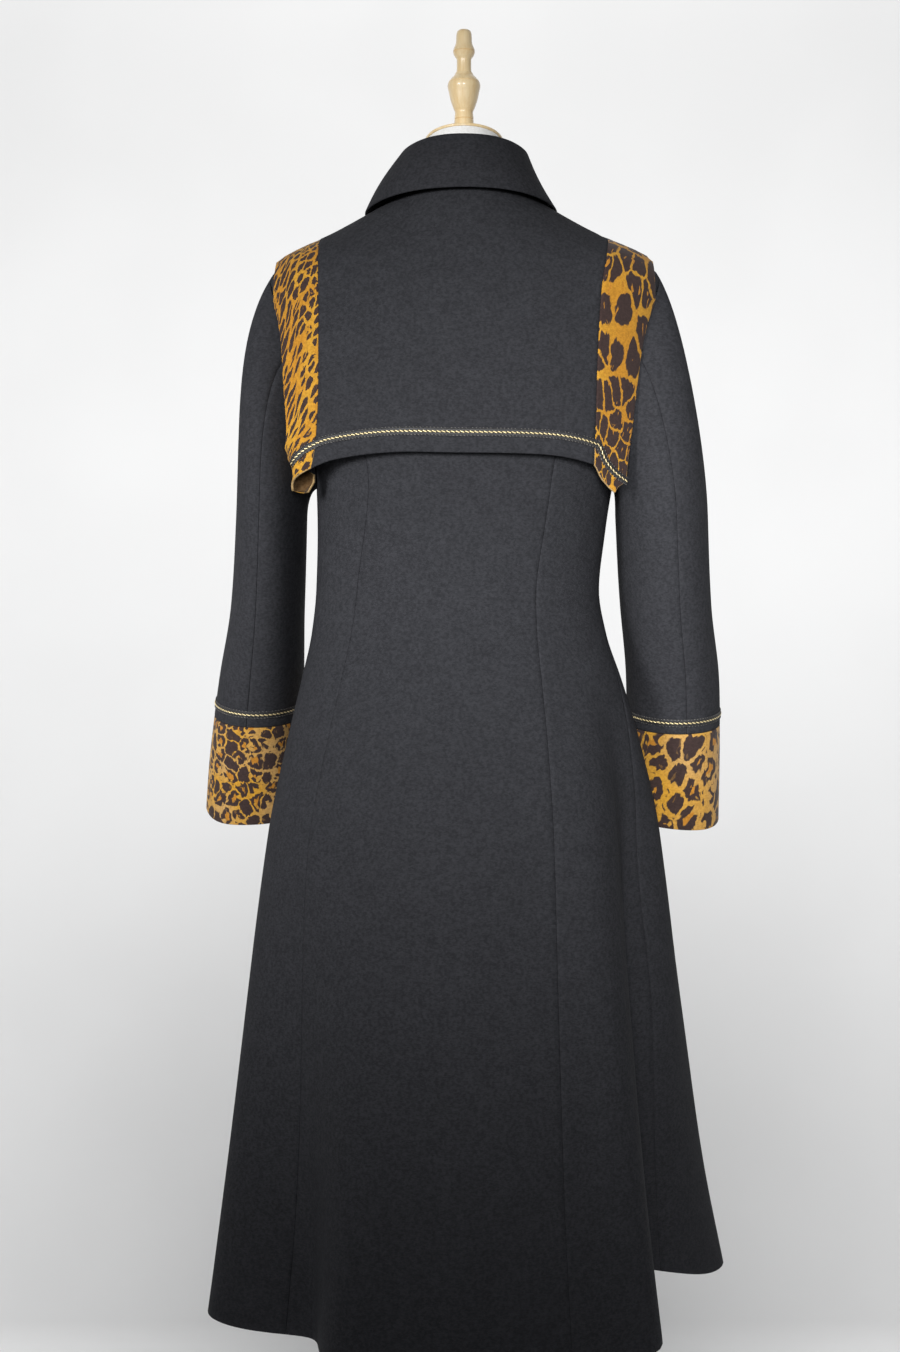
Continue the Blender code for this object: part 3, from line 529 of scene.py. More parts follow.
PILE = {"Sheen_Weight": 0.08, "Sheen_Roughness": 0.45}
BROWN_SHEEN, TAN_SHEEN = {"Sheen_Tint": (0.7, 0.6, 0.5, 1.0)}, {"Sheen_Tint": (0.8, 0.7, 0.5, 1.0)}
WOOL_DARK, WOOL_LIGHT = (0.0175, 0.0180, 0.0205), (0.0285, 0.0290, 0.0330)
BROWN_DARK, BROWN_LIGHT = (0.050, 0.026, 0.010), (0.095, 0.055, 0.024)
TAN_DARK, TAN_LIGHT = (0.22, 0.14, 0.06), (0.36, 0.25, 0.12)
WOOL = napped_look("charcoal wool", WOOL_DARK, WOOL_LIGHT, 0.0015, 0.06)
WRONG_SIDE = napped_look("brown wrong side", BROWN_DARK, BROWN_LIGHT, 0.0016, 0.12, **PILE, **BROWN_SHEEN)
TAN_EDGE = napped_look("tan cut edge", TAN_DARK, TAN_LIGHT, 0.0012, 0.15, **PILE, **TAN_SHEEN)
print([look.name for look in (WOOL, WRONG_SIDE, TAN_EDGE)])

# %% [markdown]
# ## Leopard print
# A leopard print is an old textile motif: dark spots with ragged edges on gold, some of them open rosettes
# with a warmer centre. Drawing each spot by hand would be slow and could not be reused. Voronoi cells give
# the spacing: the distance to the nearest cell wall leaves gold between neighbours, the distance to the
# cell's own point keeps a spot round, and noise bends and breaks the outline. The map is the cloth's own UV
# map in metres, so each piece has its own cut of the print, larger or smaller, slender or round.

# %% Cells of the print
Bend = namedtuple("Bend", "scale amount")
BENDS = (Bend(0.6, 0.6), Bend(1.7, 0.35), Bend(4.2, 0.16))
EVENNESS, ROUNDING, SPOT_EDGE = 0.70, 0.28, 0.05
SIZE_LEAST, SIZE_MOST = 0.70, 1.25
RING_THIN, RING_VARIES = 0.25, 0.08
HAIR_LAY, FINER_LAY = (7.0, 3.2, 1.0), (2.3, 2.0, 1.0)
SMALL_GAP, SMALL_REACH, SMALL_RAGGED, SMALL_EDGE = 0.14, 0.42, 1.5, 0.10
spots, enter, leave = new_group(
    "leopard spots",
    {
        "Vector": None,
        "Cell": 0.015,
        "Stretch": 1.4,
        "Gap": 0.10,
        "Reach": 0.55,
        "Open": 0.4,
        "Ragged": 0.25,
        "Fleck": 0.0,
        "Small": 0.0,
    },
    ("Spot", "Centre", "Patch"),
)


def bent_by(vector, bend):
    shift = vectors("ADD", noise(vector, bend.scale, 1.0, out=1), (-0.5, -0.5, -0.5))
    shift = add(spots, "VectorMath", (0, shift), ("Scale", bend.amount), operation="SCALE")
    return vectors("ADD", vector, shift)


def cells_of(vector, gap, reach):
    """How deep a place lies inside its spot, and the cell's three chances and its point."""
    feeds = (("Vector", vector), ("Scale", 1.0), ("Randomness", EVENNESS))
    wall = add(spots, "TexVoronoi", *feeds, feature="DISTANCE_TO_EDGE", voronoi_dimensions="2D")
    away = add(spots, "TexVoronoi", *feeds, feature="F1", voronoi_dimensions="2D")
    chance = add(spots, "SeparateColor", (0, away.node.outputs["Color"])).node.outputs
    reach = sums("MULTIPLY", reach, ramp(chance[0], 0.0, 1.0, SIZE_LEAST, SIZE_MOST))
    from_wall, from_rim = sums("SUBTRACT", wall, gap), sums("SUBTRACT", reach, away)
    return sums("SMOOTH_MIN", from_wall, from_rim, ROUNDING), chance, away.node.outputs["Position"]


# %% Spot outlines
across = sums("DIVIDE", 1.0, enter["Cell"])
along = sums("DIVIDE", across, enter["Stretch"])
cells = vectors("MULTIPLY", enter["Vector"], add(spots, "CombineXYZ", (0, across), (1, along)))
bent = cells
for bend in BENDS:
    bent = bent_by(bent, bend)
hair_way = vectors("MULTIPLY", bent, HAIR_LAY)
hair = sums("SUBTRACT", noise(hair_way, 1.0, 2.0), 0.5)
ragged = sums("MULTIPLY", hair, enter["Ragged"])
deep, chance, point = cells_of(bent, enter["Gap"], enter["Reach"])
deep = sums("ADD", deep, ragged)
print(len(spots.nodes), "nodes for the outlines")

# %% [markdown]
# Many spots on the cuffs are open: a lumpy ring round a warm centre, parted on one side, with small spots in
# the gold between them. Painting a few rosettes and scattering them would show the same ones again and again.
# Here each cell's own random colour says whether it opens, how thick its ring is and where the ring parts.

# %% Open rosettes and flecks
opened = sums("LESS_THAN", chance[1], enter["Open"])
inside = sums("SUBTRACT", deep, sums("MULTIPLY_ADD", chance[2], RING_VARIES, RING_THIN))
centre = sums("MULTIPLY", ramp(inside, 0.0, SPOT_EDGE), opened)
turn = sums("MULTIPLY", chance[0], 2.0 * math.pi)
mouth = add(spots, "CombineXYZ", (0, sums("COSINE", turn)), (1, sums("SINE", turn)))
aside = add(spots, "VectorMath", (0, vectors("SUBTRACT", bent, point)), operation="NORMALIZE")
faced = ramp(vectors("DOT_PRODUCT", aside, mouth, out=1), 0.87, 0.94)
lumps = ramp(noise(bent, 2.2, 0.0), 0.63, 0.68)
broken = sums("MULTIPLY", sums("MAXIMUM", faced, lumps), opened)
streak = ramp(noise(hair_way, 0.6, 1.0), 0.66, 0.70)
fleck = sums("MULTIPLY", streak, enter["Fleck"])
hole = sums("MAXIMUM", sums("MAXIMUM", centre, broken), fleck)
dark = sums("MULTIPLY", ramp(deep, 0.0, SPOT_EDGE), sums("SUBTRACT", 1.0, hole))
print(len(spots.nodes), "nodes with the rosettes")

# %% Small spots between the large ones
small, small_chance, _ = cells_of(vectors("MULTIPLY", bent, FINER_LAY), SMALL_GAP, SMALL_REACH)
small = sums("ADD", small, sums("MULTIPLY", ragged, SMALL_RAGGED))
chosen = sums("LESS_THAN", small_chance[1], enter["Small"])
shown = sums("MULTIPLY", ramp(deep, -0.10, -0.16), chosen)
dark = sums("MAXIMUM", dark, sums("MULTIPLY", ramp(small, 0.0, SMALL_EDGE), shown))
patch = ramp(noise(cells, 0.28, 1.0), 0.36, 0.64)
give(leave, Spot=dark, Centre=sums("MAXIMUM", centre, fleck), Patch=patch)
print("group:", spots.name)

# %% Print finishes
Print = namedtuple("Print", "cell stretch gap reach open ragged fleck small")
Fade = namedtuple("Fade", "low high gap reach")
GOLD_GROUND, TAN_GROUND = (0.40, 0.205, 0.021, 1.0), (0.37, 0.220, 0.075, 1.0)
ORANGE_GROUND, ORANGE_CENTRE = (0.355, 0.158, 0.015, 1.0), (0.34, 0.145, 0.017, 1.0)
SPOT_BROWN = (0.033, 0.020, 0.018, 1.0)


def print_look(name, cut, first_ground, second_ground, fade=None):
    """Fade gives the gap and reach at the low end, and the heights in the map between which they change."""
    look, tree, shader = new_look(
        name, Roughness=0.9, Sheen_Weight=0.06, Sheen_Roughness=0.5, Specular_IOR_Level=0.15
    )
    where = add(tree, "UVMap", uv_map="cloth")
    values = {field.capitalize(): value for field, value in cut._asdict().items()}
    if fade:
        level = add(tree, "SeparateXYZ", (0, where)).node.outputs[1]
        values["Gap"] = ramp(level, fade.low, fade.high, fade.gap, cut.gap)
        values["Reach"] = ramp(level, fade.low, fade.high, fade.reach, cut.reach)
    found = place(tree, spots, Vector=where, **values)
    fuzz = place(tree, nap, **{"Fibre size": 0.0013, "Mottle size": 0.012})
    ground = blend(found["Patch"], first_ground, second_ground)
    ground = blend(found["Centre"], ground, ORANGE_CENTRE)
    colour = blend(found["Spot"], ground, SPOT_BROWN)
    paint(shader, colour, ramp(fuzz["Fibre"], 0.0, 1.0, 0.84, 1.12))
    bump(shader, fuzz["Height"], 0.4, 0.0006)
    return look


SMALL_SPOTS = Print(0.0115, 1.12, 0.065, 0.58, 0.15, 0.32, 0.2, 0.0)
SMALL_FADE = Fade(0.08, 0.20, 0.12, 0.50)
LARGE_SPOTS = Print(0.0222, 1.60, 0.030, 0.74, 0.0, 0.20, 1.0, 0.0)
ROSETTES = Print(0.0142, 1.1, 0.020, 0.68, 0.65, 0.32, 0.2, 0.9)
LARGE_ROSETTES = Print(0.0220, 1.35, 0.060, 0.62, 0.65, 0.24, 0.2, 0.9)
BAND_PRINT = {
    "left": print_look("print small spots", SMALL_SPOTS, GOLD_GROUND, ORANGE_GROUND, SMALL_FADE),
    "right": print_look("print large spots", LARGE_SPOTS, GOLD_GROUND, ORANGE_GROUND),
}
CUFF_PRINT = {
    "left": print_look("print rosettes", ROSETTES, GOLD_GROUND, TAN_GROUND),
    "right": print_look("print large rosettes", LARGE_ROSETTES, TAN_GROUND, GOLD_GROUND),
}
CUFF_LOOKS = {side: (look, look, WRONG_SIDE) for side, look in CUFF_PRINT.items()}
print(len(BAND_PRINT) + len(CUFF_PRINT), "print finishes")

# %% [markdown]
# ## Braid, wood, jersey and metal
# The gold cord is metal-wrapped thread, so its finish is partly metal, with painted shade in the fine ply
# lines and a painted highlight on their crests, and painted shade where one strand passes under the other.
# The black gimp and the pale stitches share those painted ply lines. The finial is pale turned wood under
# varnish, with a long grain.

# %% Thread ply
SLANT, PLY_GROOVE_SHADE, PLY_CREST_HIGHLIGHT = 2.0, 0.55, 1.1
ply, enter, leave = new_group("thread ply", {"Vector": None, "Lines": 900.0, "Dip": 0.0}, ("Shade", "Height"))


def ply_wave(turns):
    return sums("SINE", sums("MULTIPLY", turns, 2.0 * math.pi))


parts = add(ply, "SeparateXYZ", (0, enter["Vector"])).node.outputs
wave = ply_wave(sums("MULTIPLY_ADD", parts[0], enter["Lines"], sums("MULTIPLY", parts[1], SLANT)))
# painted shade: a strand darkens where it passes under its neighbour
under = sums("SUBTRACT", 1.0, ramp(ply_wave(parts[0]), 0.1, 0.6))
strand_under_shade = sums("SUBTRACT", 1.0, sums("MULTIPLY", enter["Dip"], under))
# painted shade in the grooves between plies and a painted highlight on their crests, following the bump
lines = ramp(wave, -1.0, 1.0, PLY_GROOVE_SHADE, PLY_CREST_HIGHLIGHT)
give(leave, Shade=sums("MULTIPLY", lines, strand_under_shade), Height=wave)


def thread_look(name, colour, lines, painted_under_shade=0.0, **sockets):
    """A strand gets painted shade where it passes under its neighbour, as strong as the painted under shade;
    its map then counts turns of the twist.
    """
    look, tree, shader = new_look(name, **sockets)
    lay = place(tree, ply, Vector=add(tree, "UVMap", uv_map="cloth"), Lines=lines, Dip=painted_under_shade)
    paint(shader, (*colour, 1.0), lay["Shade"])
    bump(shader, lay["Height"], 0.35, 0.0002)
    return look


GOLD = thread_look("gold thread", (1.0, 0.82, 0.45), 9.0, painted_under_shade=0.94, Metallic=0.4, Roughness=0.32)
GIMP = thread_look("black gimp", (0.020, 0.020, 0.022), 1100.0, Roughness=0.6)
STITCH = thread_look("pale stitches", (0.15, 0.142, 0.130), 1100.0, Roughness=0.7)
BRAID_LOOKS = (GIMP, GOLD, STITCH)
print([look.name for look in BRAID_LOOKS])

# %% Wood, jersey, horn and metal
WOOD, tree, shader = new_look("pale turned wood", Roughness=0.36, Coat_Weight=0.45, Coat_Roughness=0.18)
long_grain = vectors("MULTIPLY", add(tree, "TexCoord", out=3), (260.0, 260.0, 14.0))
grain = noise(long_grain, 1.0, 4.0, ("Roughness", 0.6))
pores = ramp(noise(long_grain, 4.0, 2.0), 0.62, 0.76, 0.0, 0.35)
warm = blend(ramp(grain, 0.32, 0.68), (0.88, 0.70, 0.42, 1.0), (0.80, 0.59, 0.31, 1.0))
paint(shader, blend(pores, warm, (0.64, 0.44, 0.21, 1.0)))
bump(shader, grain, 0.08, 0.0004)

JERSEY, tree, shader = new_look("white jersey", Roughness=0.85, Sheen_Weight=0.08, Sheen_Roughness=0.5)
fuzz = place(tree, nap, **{"Fibre size": 0.0011, "Mottle size": 0.03})
paint(shader, blend(fuzz["Fibre"], (0.76, 0.75, 0.73, 1.0), (0.86, 0.855, 0.84, 1.0)))
bump(shader, fuzz["Height"], 0.25, 0.0004)

HORN, tree, shader = new_look("black horn", Roughness=0.28, Coat_Weight=0.3, Coat_Roughness=0.12)
streak = noise(add(tree, "TexCoord", out=3), 140.0, 3.0, ("Distortion", 1.2))
paint(shader, blend(streak, (0.010, 0.009, 0.009, 1.0), (0.040, 0.034, 0.030, 1.0)))

METAL, tree, shader = new_look("grey lacquered metal", Metallic=0.2)
here = add(tree, "TexCoord", out=3)
cloud = noise(here, 18.0, 4.0)
paint(shader, blend(cloud, (0.40, 0.40, 0.41, 1.0), (0.52, 0.52, 0.53, 1.0)))
tree.links.new(ramp(cloud, 0.3, 0.7, 0.38, 0.52), shader.inputs["Roughness"])
bump(shader, noise(here, 900.0, 1.0), 0.10, 0.0002)
print([look.name for look in (WOOD, JERSEY, HORN, METAL)])

# %% [markdown]
# ## Body panels
# The back is cut in three, with two long seams from the cape to the hem, and each front is one panel. The
# right front laps over the left. Every panel is sampled at the same heights, so the rolled edges of two
# neighbours meet in the fine groove that a pressed seam shows.

# %% Panels
LAP_START, LAP_FULL, LAP_END, LAP_UNDER, LAP_CLEARANCE = 158.0, 168.0, 186.0, 172.0, 0.0014
WOOL_LOOKS = (WOOL, WOOL, WOOL)


def seam(column):
    return smooth(BODY_ROWS, SEAMS, column)


def lap_rise(bearing):
    return (CLOTH + LAP_CLEARANCE) * ease((bearing - LAP_START) / (LAP_FULL - LAP_START))


def panel(node, first, last, columns, rise=None):
    bearings = between(first, last, columns)
    levels = np.broadcast_to(BODY_ROWS[:, None], bearings.shape)
    normals = body_normal(bearings, levels)
    grid = part_seams(body_point(bearings, levels))
    if rise is not None:
        grid = grid + normals * rise(bearings)[..., None]
    cloth(node, grid, normals, WOOL_LOOKS, "wool")


above = BODY_ROWS > ARMPIT + 1e-6
opening = armhole_spread(BODY_ROWS)
plumb = np.ones(len(BODY_ROWS))
panel("back_centre", seam("left_back"), seam("right_back"), 44)
panel("back_side_left", np.where(above, opening - 90.0, seam("left_side")), seam("left_back"), 24)
panel("back_side_right", seam("right_back"), np.where(above, 90.0 - opening, seam("right_side")), 28)
panel("front_right", np.where(above, 90.0 + opening, seam("right_side")), LAP_END * plumb, 48, lap_rise)
panel("front_left", LAP_UNDER * plumb, 360.0 + np.where(above, -90.0 - opening, seam("left_side")), 44)

# %% [markdown]
# ## Sleeves and cuffs
# A tailored sleeve has two pieces, so that it can bend forward as an arm does. Its head leaves the armhole
# outwards, swells a little and turns down, which a cubic between the armhole and the first level ring
# gives. Below that come level rings that move forward towards the cuff. At the elbow the inner side of the
# bend creases softly.

# %% Sleeve surface
BICEPS = 1.120
SLEEVE_END, CUFF_END = {"left": 0.916, "right": 0.9075}, {"left": 0.810, "right": 0.804}
Ring = namedtuple("Ring", "height aside forward half_width half_depth slope tilt")
SLEEVES = {
    "left": (
        Ring(0.803, 0.2230, 0.108, 0.0515, 0.0500, 0.18, -0.04),
        Ring(0.860, 0.2210, 0.101, 0.0490, 0.0525, 0.18, -0.02),
        Ring(0.915, 0.2170, 0.089, 0.0455, 0.0570, 0.21, 0.01),
        Ring(0.957, 0.2120, 0.073, 0.0430, 0.0620, 0.20, 0.02),
        Ring(1.030, 0.2035, 0.042, 0.0370, 0.0700, 0.08, 0.02),
        Ring(1.120, 0.1975, 0.012, 0.0350, 0.0750, 0.00, 0.00),
    ),
    "right": (
        Ring(0.803, 0.2235, 0.108, 0.0485, 0.0525, 0.15, -0.09),
        Ring(0.860, 0.2230, 0.101, 0.0488, 0.0540, 0.17, -0.04),
        Ring(0.915, 0.2220, 0.089, 0.0480, 0.0575, 0.19, 0.00),
        Ring(0.957, 0.2195, 0.073, 0.0475, 0.0600, 0.18, 0.00),
        Ring(1.030, 0.2100, 0.042, 0.0460, 0.0640, 0.08, 0.00),
        Ring(1.120, 0.2030, 0.012, 0.0460, 0.0680, 0.00, 0.00),
    ),
}
CAP_FULLNESS = {"left": 0.80, "right": 0.50}
CAP_OUT_TOP, CAP_OUT_UNDER = 0.50, 0.90
CAP_DOWN_TOP, CAP_DOWN_UNDER, CAP_ALONG = 0.85, 0.45, 0.45
BEND_CLEARANCE, UNDERARM_CLEARANCE, CAP_BLEND = 0.55, 0.90, 0.01
BACK_SEAM, FRONT_SEAM, SLEEVE_STEP = 80, 260, 5
CREASE_HEIGHT, CREASE_SPAN, CREASE_DEPTH, CREASE_GAP, CREASE_LEAN = 1.030, 0.060, 0.0022, 0.034, 0.03
CUFF_LIFT, CUFF_LIFT_POWER = {"left": 0.0095, "right": 0.005}, 6


def sleeve_ring(side, height, angle):
    aside, forward, half_width, half_depth, slope, tilt = columns_at(height, SLEEVES[side])
    turn = np.radians(angle)
    crease = np.exp(-(((height - CREASE_HEIGHT) / CREASE_SPAN) ** 2)) * np.clip(-np.sin(turn), 0.0, None) ** 2
    swell = CREASE_DEPTH * crease * np.sin(2.0 * math.pi * (height + CREASE_LEAN * np.cos(turn)) / CREASE_GAP)
    ahead = -(half_depth + swell) * np.sin(turn)
    low = ease((SLEEVE_END[side] - height) / (SLEEVE_END[side] - CUFF_END[side]))
    rise = slope * ahead + tilt * half_width * np.cos(turn)
    rise = rise + CUFF_LIFT[side] * low * np.clip(np.cos(turn), 0.0, None) ** CUFF_LIFT_POWER
    return xyz(SIDES[side] * (aside + (half_width + swell) * np.cos(turn)), forward + ahead, height + rise)


def armhole(side, angle):
    turn = np.radians(angle)
    return SIDES[side] * (90.0 - ARMHOLE_SPREAD * np.sin(turn)), ARMHOLE_MIDDLE + ARMHOLE_HALF * np.cos(turn)


def cap_point(side, angle, t):
    start = body_point(*armhole(side, angle))
    end = sleeve_ring(side, BICEPS, angle)
    turn = np.radians(angle)
    under = (1.0 - np.cos(turn)) / 2
    outward = SIDES[side] * (CAP_OUT_TOP + (CAP_OUT_UNDER - CAP_OUT_TOP) * under)
    down = CAP_DOWN_TOP + (CAP_DOWN_UNDER - CAP_DOWN_TOP) * under
    leave_way = unit(xyz(outward, -CAP_ALONG * np.sin(turn), -down))
    tangent = unit(body_point(*armhole(side, angle + 1.0)) - body_point(*armhole(side, angle - 1.0)))
    normal = body_normal(*armhole(side, angle))
    straight = np.sum(np.cross(normal, tangent) * SIDES[side] * leave_way, axis=-1, keepdims=True)
    bend = np.sqrt(np.clip(1.0 - straight**2, 0.0, 1.0))
    start = start + leave_way * (SEAM_GAP + BEND_CLEARANCE * CLOTH * bend)
    start = start + normal * (UNDERARM_CLEARANCE * CLOTH * np.clip(-straight, 0.0, None))
    arrive = unit(sleeve_ring(side, BICEPS - CAP_BLEND, angle) - end)
    length = np.linalg.norm(end - start, axis=-1, keepdims=True)
    return cubic(t, start, length * CAP_FULLNESS[side] * leave_way, end, length * arrive)


cuffs = [np.ptp(sleeve_ring(side, CUFF_END[side], np.arange(360.0))[:, 0]) for side in SIDES]
print("cuffs across:", np.round(cuffs, 3))

# %% Sleeves
ARM_STEP, CUFF_STEP, CAP_ROWS, CAP_CROWDING = 0.007, 0.006, 30, 1.3
CAP_STEPS = np.linspace(0.0, 1.0, CAP_ROWS) ** CAP_CROWDING
sleeve_angles = np.arange(0, 360, SLEEVE_STEP)
cuff_angles = (sleeve_angles + 180) % 360

for side, sign in SIDES.items():
    cap = [cap_point(side, sleeve_angles, t) for t in CAP_STEPS]
    arm_rows = spread((BICEPS, SLEEVE_END[side]), ARM_STEP)[1:]
    cuff_rows = spread((SLEEVE_END[side] - SEAM_GAP, CUFF_END[side]), CUFF_STEP)
    arm = [sleeve_ring(side, height, sleeve_angles) for height in arm_rows]
    grid = np.array(cap + arm)
    normals = grid_normals(grid, closed=True) * sign
    back, front = BACK_SEAM // SLEEVE_STEP, FRONT_SEAM // SLEEVE_STEP
    columns_of = {
        "under": np.arange(back, front + 1),
        "upper": np.arange(front, len(sleeve_angles) + back + 1) % len(sleeve_angles),
    }
    for name, columns in columns_of.items():
        node, parted = f"sleeve_{name}_{side}", part_seams(grid[:, columns])
        cloth(node, parted, normals[:, columns], WOOL_LOOKS, "wool", held="hung", on="back_centre")
    grid = np.array([sleeve_ring(side, height, cuff_angles) for height in cuff_rows])
    normals = grid_normals(grid, closed=True) * sign
    on = f"sleeve_upper_{side}"
    cloth(f"cuff_{side}", grid, normals, CUFF_LOOKS[side], "print", held="hung", on=on, closed=True)

# %% [markdown]
# ## Collar
# The collar has a stand round the neck and a fall that rolls over its top and lies on the shoulders. Both
# follow two lines round the neck, with a tight roll between them, so the fall's lower edge can stand off the
# cape and leave the dark line that shows below it.

# %% Collar pieces
CollarLine = namedtuple("CollarLine", "left right back front left_top right_top back_top front_top")
STAND_TOP = CollarLine(0.0585, 0.0585, 0.0740, 0.0640, 1.4800, 1.4800, 1.4850, 1.4210)
FALL_EDGE = CollarLine(0.1000, 0.0945, 0.0980, 0.0980, 1.4265, 1.4275, 1.4340, 1.3670)
RIGHT_BULGE = -0.0024
COLLAR_END, ROLL_RADIUS, ROLL_LAST, FALL_BULGE = 172.0, 0.0040, 125.0, 0.0030


def collar_line(line, bearing):
    across, along = compass(bearing)
    width, depth = np.where(across > 0.0, line.right, line.left), np.where(along > 0.0, line.front, line.back)
    side_top = np.where(across > 0.0, line.right_top, line.left_top)
    end_top = np.where(along > 0.0, line.front_top, line.back_top)
    share = np.where(along > 0.0, across**2, np.abs(across) ** 3)
    return xyz(across * width, along * depth, end_top + (side_top - end_top) * share)


bearings = np.linspace(-COLLAR_END, COLLAR_END, 141)
upward, outward = np.array([0.0, 0.0, 1.0]), xyz(*compass(bearings), 0.0)
neckline = body_point(bearings, NECK) + upward * SEWN_GAP
top = collar_line(STAND_TOP, bearings)
stand = np.array([neckline * (1.0 - share) + top * share for share in np.linspace(0.0, 1.0, 10)])
cloth("collar_stand", stand, grid_normals(stand), WOOL_LOOKS, "wool", on="back_centre")
start = top + upward * (CLOTH / 2)
rows = []
for angle in np.radians(np.linspace(0.0, ROLL_LAST, 9)):
    rows.append(start + ROLL_RADIUS * ((1.0 - math.cos(angle)) * outward + math.sin(angle) * upward))
rolled, edge = rows[-1], collar_line(FALL_EDGE, bearings)
rightward = np.clip(outward[:, :1], 0.0, 1.0) ** 2
bulge = FALL_BULGE * (1.0 - rightward) + RIGHT_BULGE * rightward
for share in np.linspace(0.0, 1.0, 17)[1:]:
    rows.append(rolled * (1.0 - share) + edge * share + outward * bulge * math.sin(math.pi * share))
fall = np.array(rows)
cloth("collar_fall", fall, -grid_normals(fall), WOOL_LOOKS, "wool", held="folded", on="collar_stand")

# %% [markdown]
# ## Cape
# The cape is sewn in at the collar and along the armholes and hangs free below. It is made from the back's
# own points, moved out, so it follows the shoulders. Its lower left corner rolls in and shows the brown wrong
# side of the print band, and its lower right corner is rounded off.

# %% Cape surface
BandLine = namedtuple("BandLine", "height left right")
BAND_LINES = (
    BandLine(1.170, 0.130, 0.117),
    BandLine(1.207, 0.134, 0.121),
    BandLine(1.280, 0.139, 0.127),
    BandLine(1.350, 0.141, 0.133),
    BandLine(1.397, 0.143, 0.143),
)
Flare = namedtuple("Flare", "bearing out drop")
CAPE_FLARES = (
    Flare(-68.0, 0.042, 0.026),
    Flare(-63.0, 0.034, 0.012),
    Flare(-58.0, 0.026, 0.005),
    Flare(-48.0, 0.015, 0.000),
    Flare(-25.0, 0.008, -0.002),
    Flare(0.0, 0.006, 0.000),
    Flare(25.0, 0.007, 0.000),
    Flare(48.0, 0.011, 0.006),
    Flare(53.0, 0.013, 0.020),
    Flare(58.0, 0.016, 0.030),
    Flare(68.0, 0.024, 0.042),
)
CAPE_TOP, CAPE_EDGE, CAPE_FREE, BAND_TIP = 1.435, 1.174, 1.330, 1.394
CAPE_OFF, CAPE_CURVE, CAPE_SIDE, CAPE_REACH, BAND_WIDEST = 0.0054, 1.6, 89.0, 0.186, 88.0
CURL_BEARING, CURL_RADIUS, CURL_EXTRA, CURL_LEAST = -61.0, 0.0110, 12.0, 0.001
CURL_TOP, CURL_FULL, CURL_START, CURL_SPAN, CURL_ROUND = 1.215, 1.165, 0.020, 0.030, 0.4
CORNER_TUCK, CORNER_TOP, CUT_EDGE_TOP, BAND_RIM = 5.0, 1.190, 1.178, 0.0008


def cape_point(bearing, height):
    free = np.clip((CAPE_FREE - height) / (CAPE_FREE - CAPE_EDGE), 0.0, None)
    return off_body(bearing, height, CAPE_OFF + smooth(bearing, CAPE_FLARES, "out") * free**CAPE_CURVE)


def cape_edge_height(bearing):
    return CAPE_EDGE - smooth(bearing, CAPE_FLARES, "drop")


def band_inner(side, height):
    place_across = smooth(height, BAND_LINES, side) / smooth(height, SECTIONS, side)
    return SIDES[side] * np.degrees(np.arcsin(np.clip(place_across, 0.0, np.sin(np.radians(BAND_WIDEST)))))


def band_outer(side, height):
    beside = CAPE_SIDE - armhole_spread(np.maximum(height, ARMHOLE_MIDDLE))
    reach = np.minimum(CAPE_REACH / smooth(height, SECTIONS, side), np.sin(np.radians(CAPE_SIDE)))
    return SIDES[side] * np.minimum(beside, np.degrees(np.arcsin(reach)))


def curled(bearing, level):
    """Points and normals of the cape, with its lower left corner rolled in past one bearing."""
    bearing, level = np.broadcast_arrays(bearing, level)
    fixed = np.maximum(bearing, CURL_BEARING)
    base, normal = cape_point(fixed, level), normal_of(cape_point, fixed, level)
    ahead = unit(cape_point(fixed - 1.0, level) - base)
    reach = np.linalg.norm(cape_point(bearing, level) - base, axis=-1, keepdims=True)
    tight = np.maximum(ease((CURL_TOP - level) / (CURL_TOP - CURL_FULL)), CURL_LEAST)[..., None] / CURL_RADIUS
    angle = reach * tight
    rolled = base + (np.sin(angle) * ahead - (1.0 - np.cos(angle)) * normal) / tight
    share = ease((CURL_TOP - level) / CURL_START)[..., None]
    points = cape_point(bearing, level) * (1.0 - share) + rolled * share
    plain = normal_of(cape_point, bearing, level)
    return points, unit(plain * (1.0 - share) + (np.cos(angle) * normal + np.sin(angle) * ahead) * share)


def cape_grid(first, last, columns, heights):
    bearings = between(first, last, columns)
    share = np.clip((CAPE_FREE - heights) / (CAPE_FREE - CAPE_EDGE), 0.0, 1.0)[:, None] ** 2
    levels = heights[:, None] - (CAPE_EDGE - cape_edge_height(bearings)) * share
    points, normals = curled(bearings, levels)
    return part_seams(points), normals


print("corners of the cape at", np.round(cape_edge_height(np.array([-CAPE_SIDE, CAPE_SIDE])), 3))

# %% Cape pieces
CAPE_STEP = 0.0055
CAPE_ROWS = spread((CAPE_EDGE, BAND_TIP, CAPE_TOP), CAPE_STEP)
BAND_ROWS = CAPE_ROWS[CAPE_ROWS <= BAND_TIP + 1e-6]
centre_edges = (band_inner("left", CAPE_ROWS), band_inner("right", CAPE_ROWS))
grid, normals = cape_grid(*centre_edges, 60, CAPE_ROWS)
cloth("cape_centre", grid, normals, WOOL_LOOKS, "wool", held="hung", on="back_centre")
corner = ease((CORNER_TOP - BAND_ROWS) / (CORNER_TOP - CAPE_EDGE))
loose = ease((CURL_TOP - BAND_ROWS) / CURL_SPAN) * (1.0 - CURL_ROUND * corner)
outer_edges = {
    "left": band_outer("left", BAND_ROWS) - CURL_EXTRA * loose,
    "right": band_outer("right", BAND_ROWS) - CORNER_TUCK * corner,
}
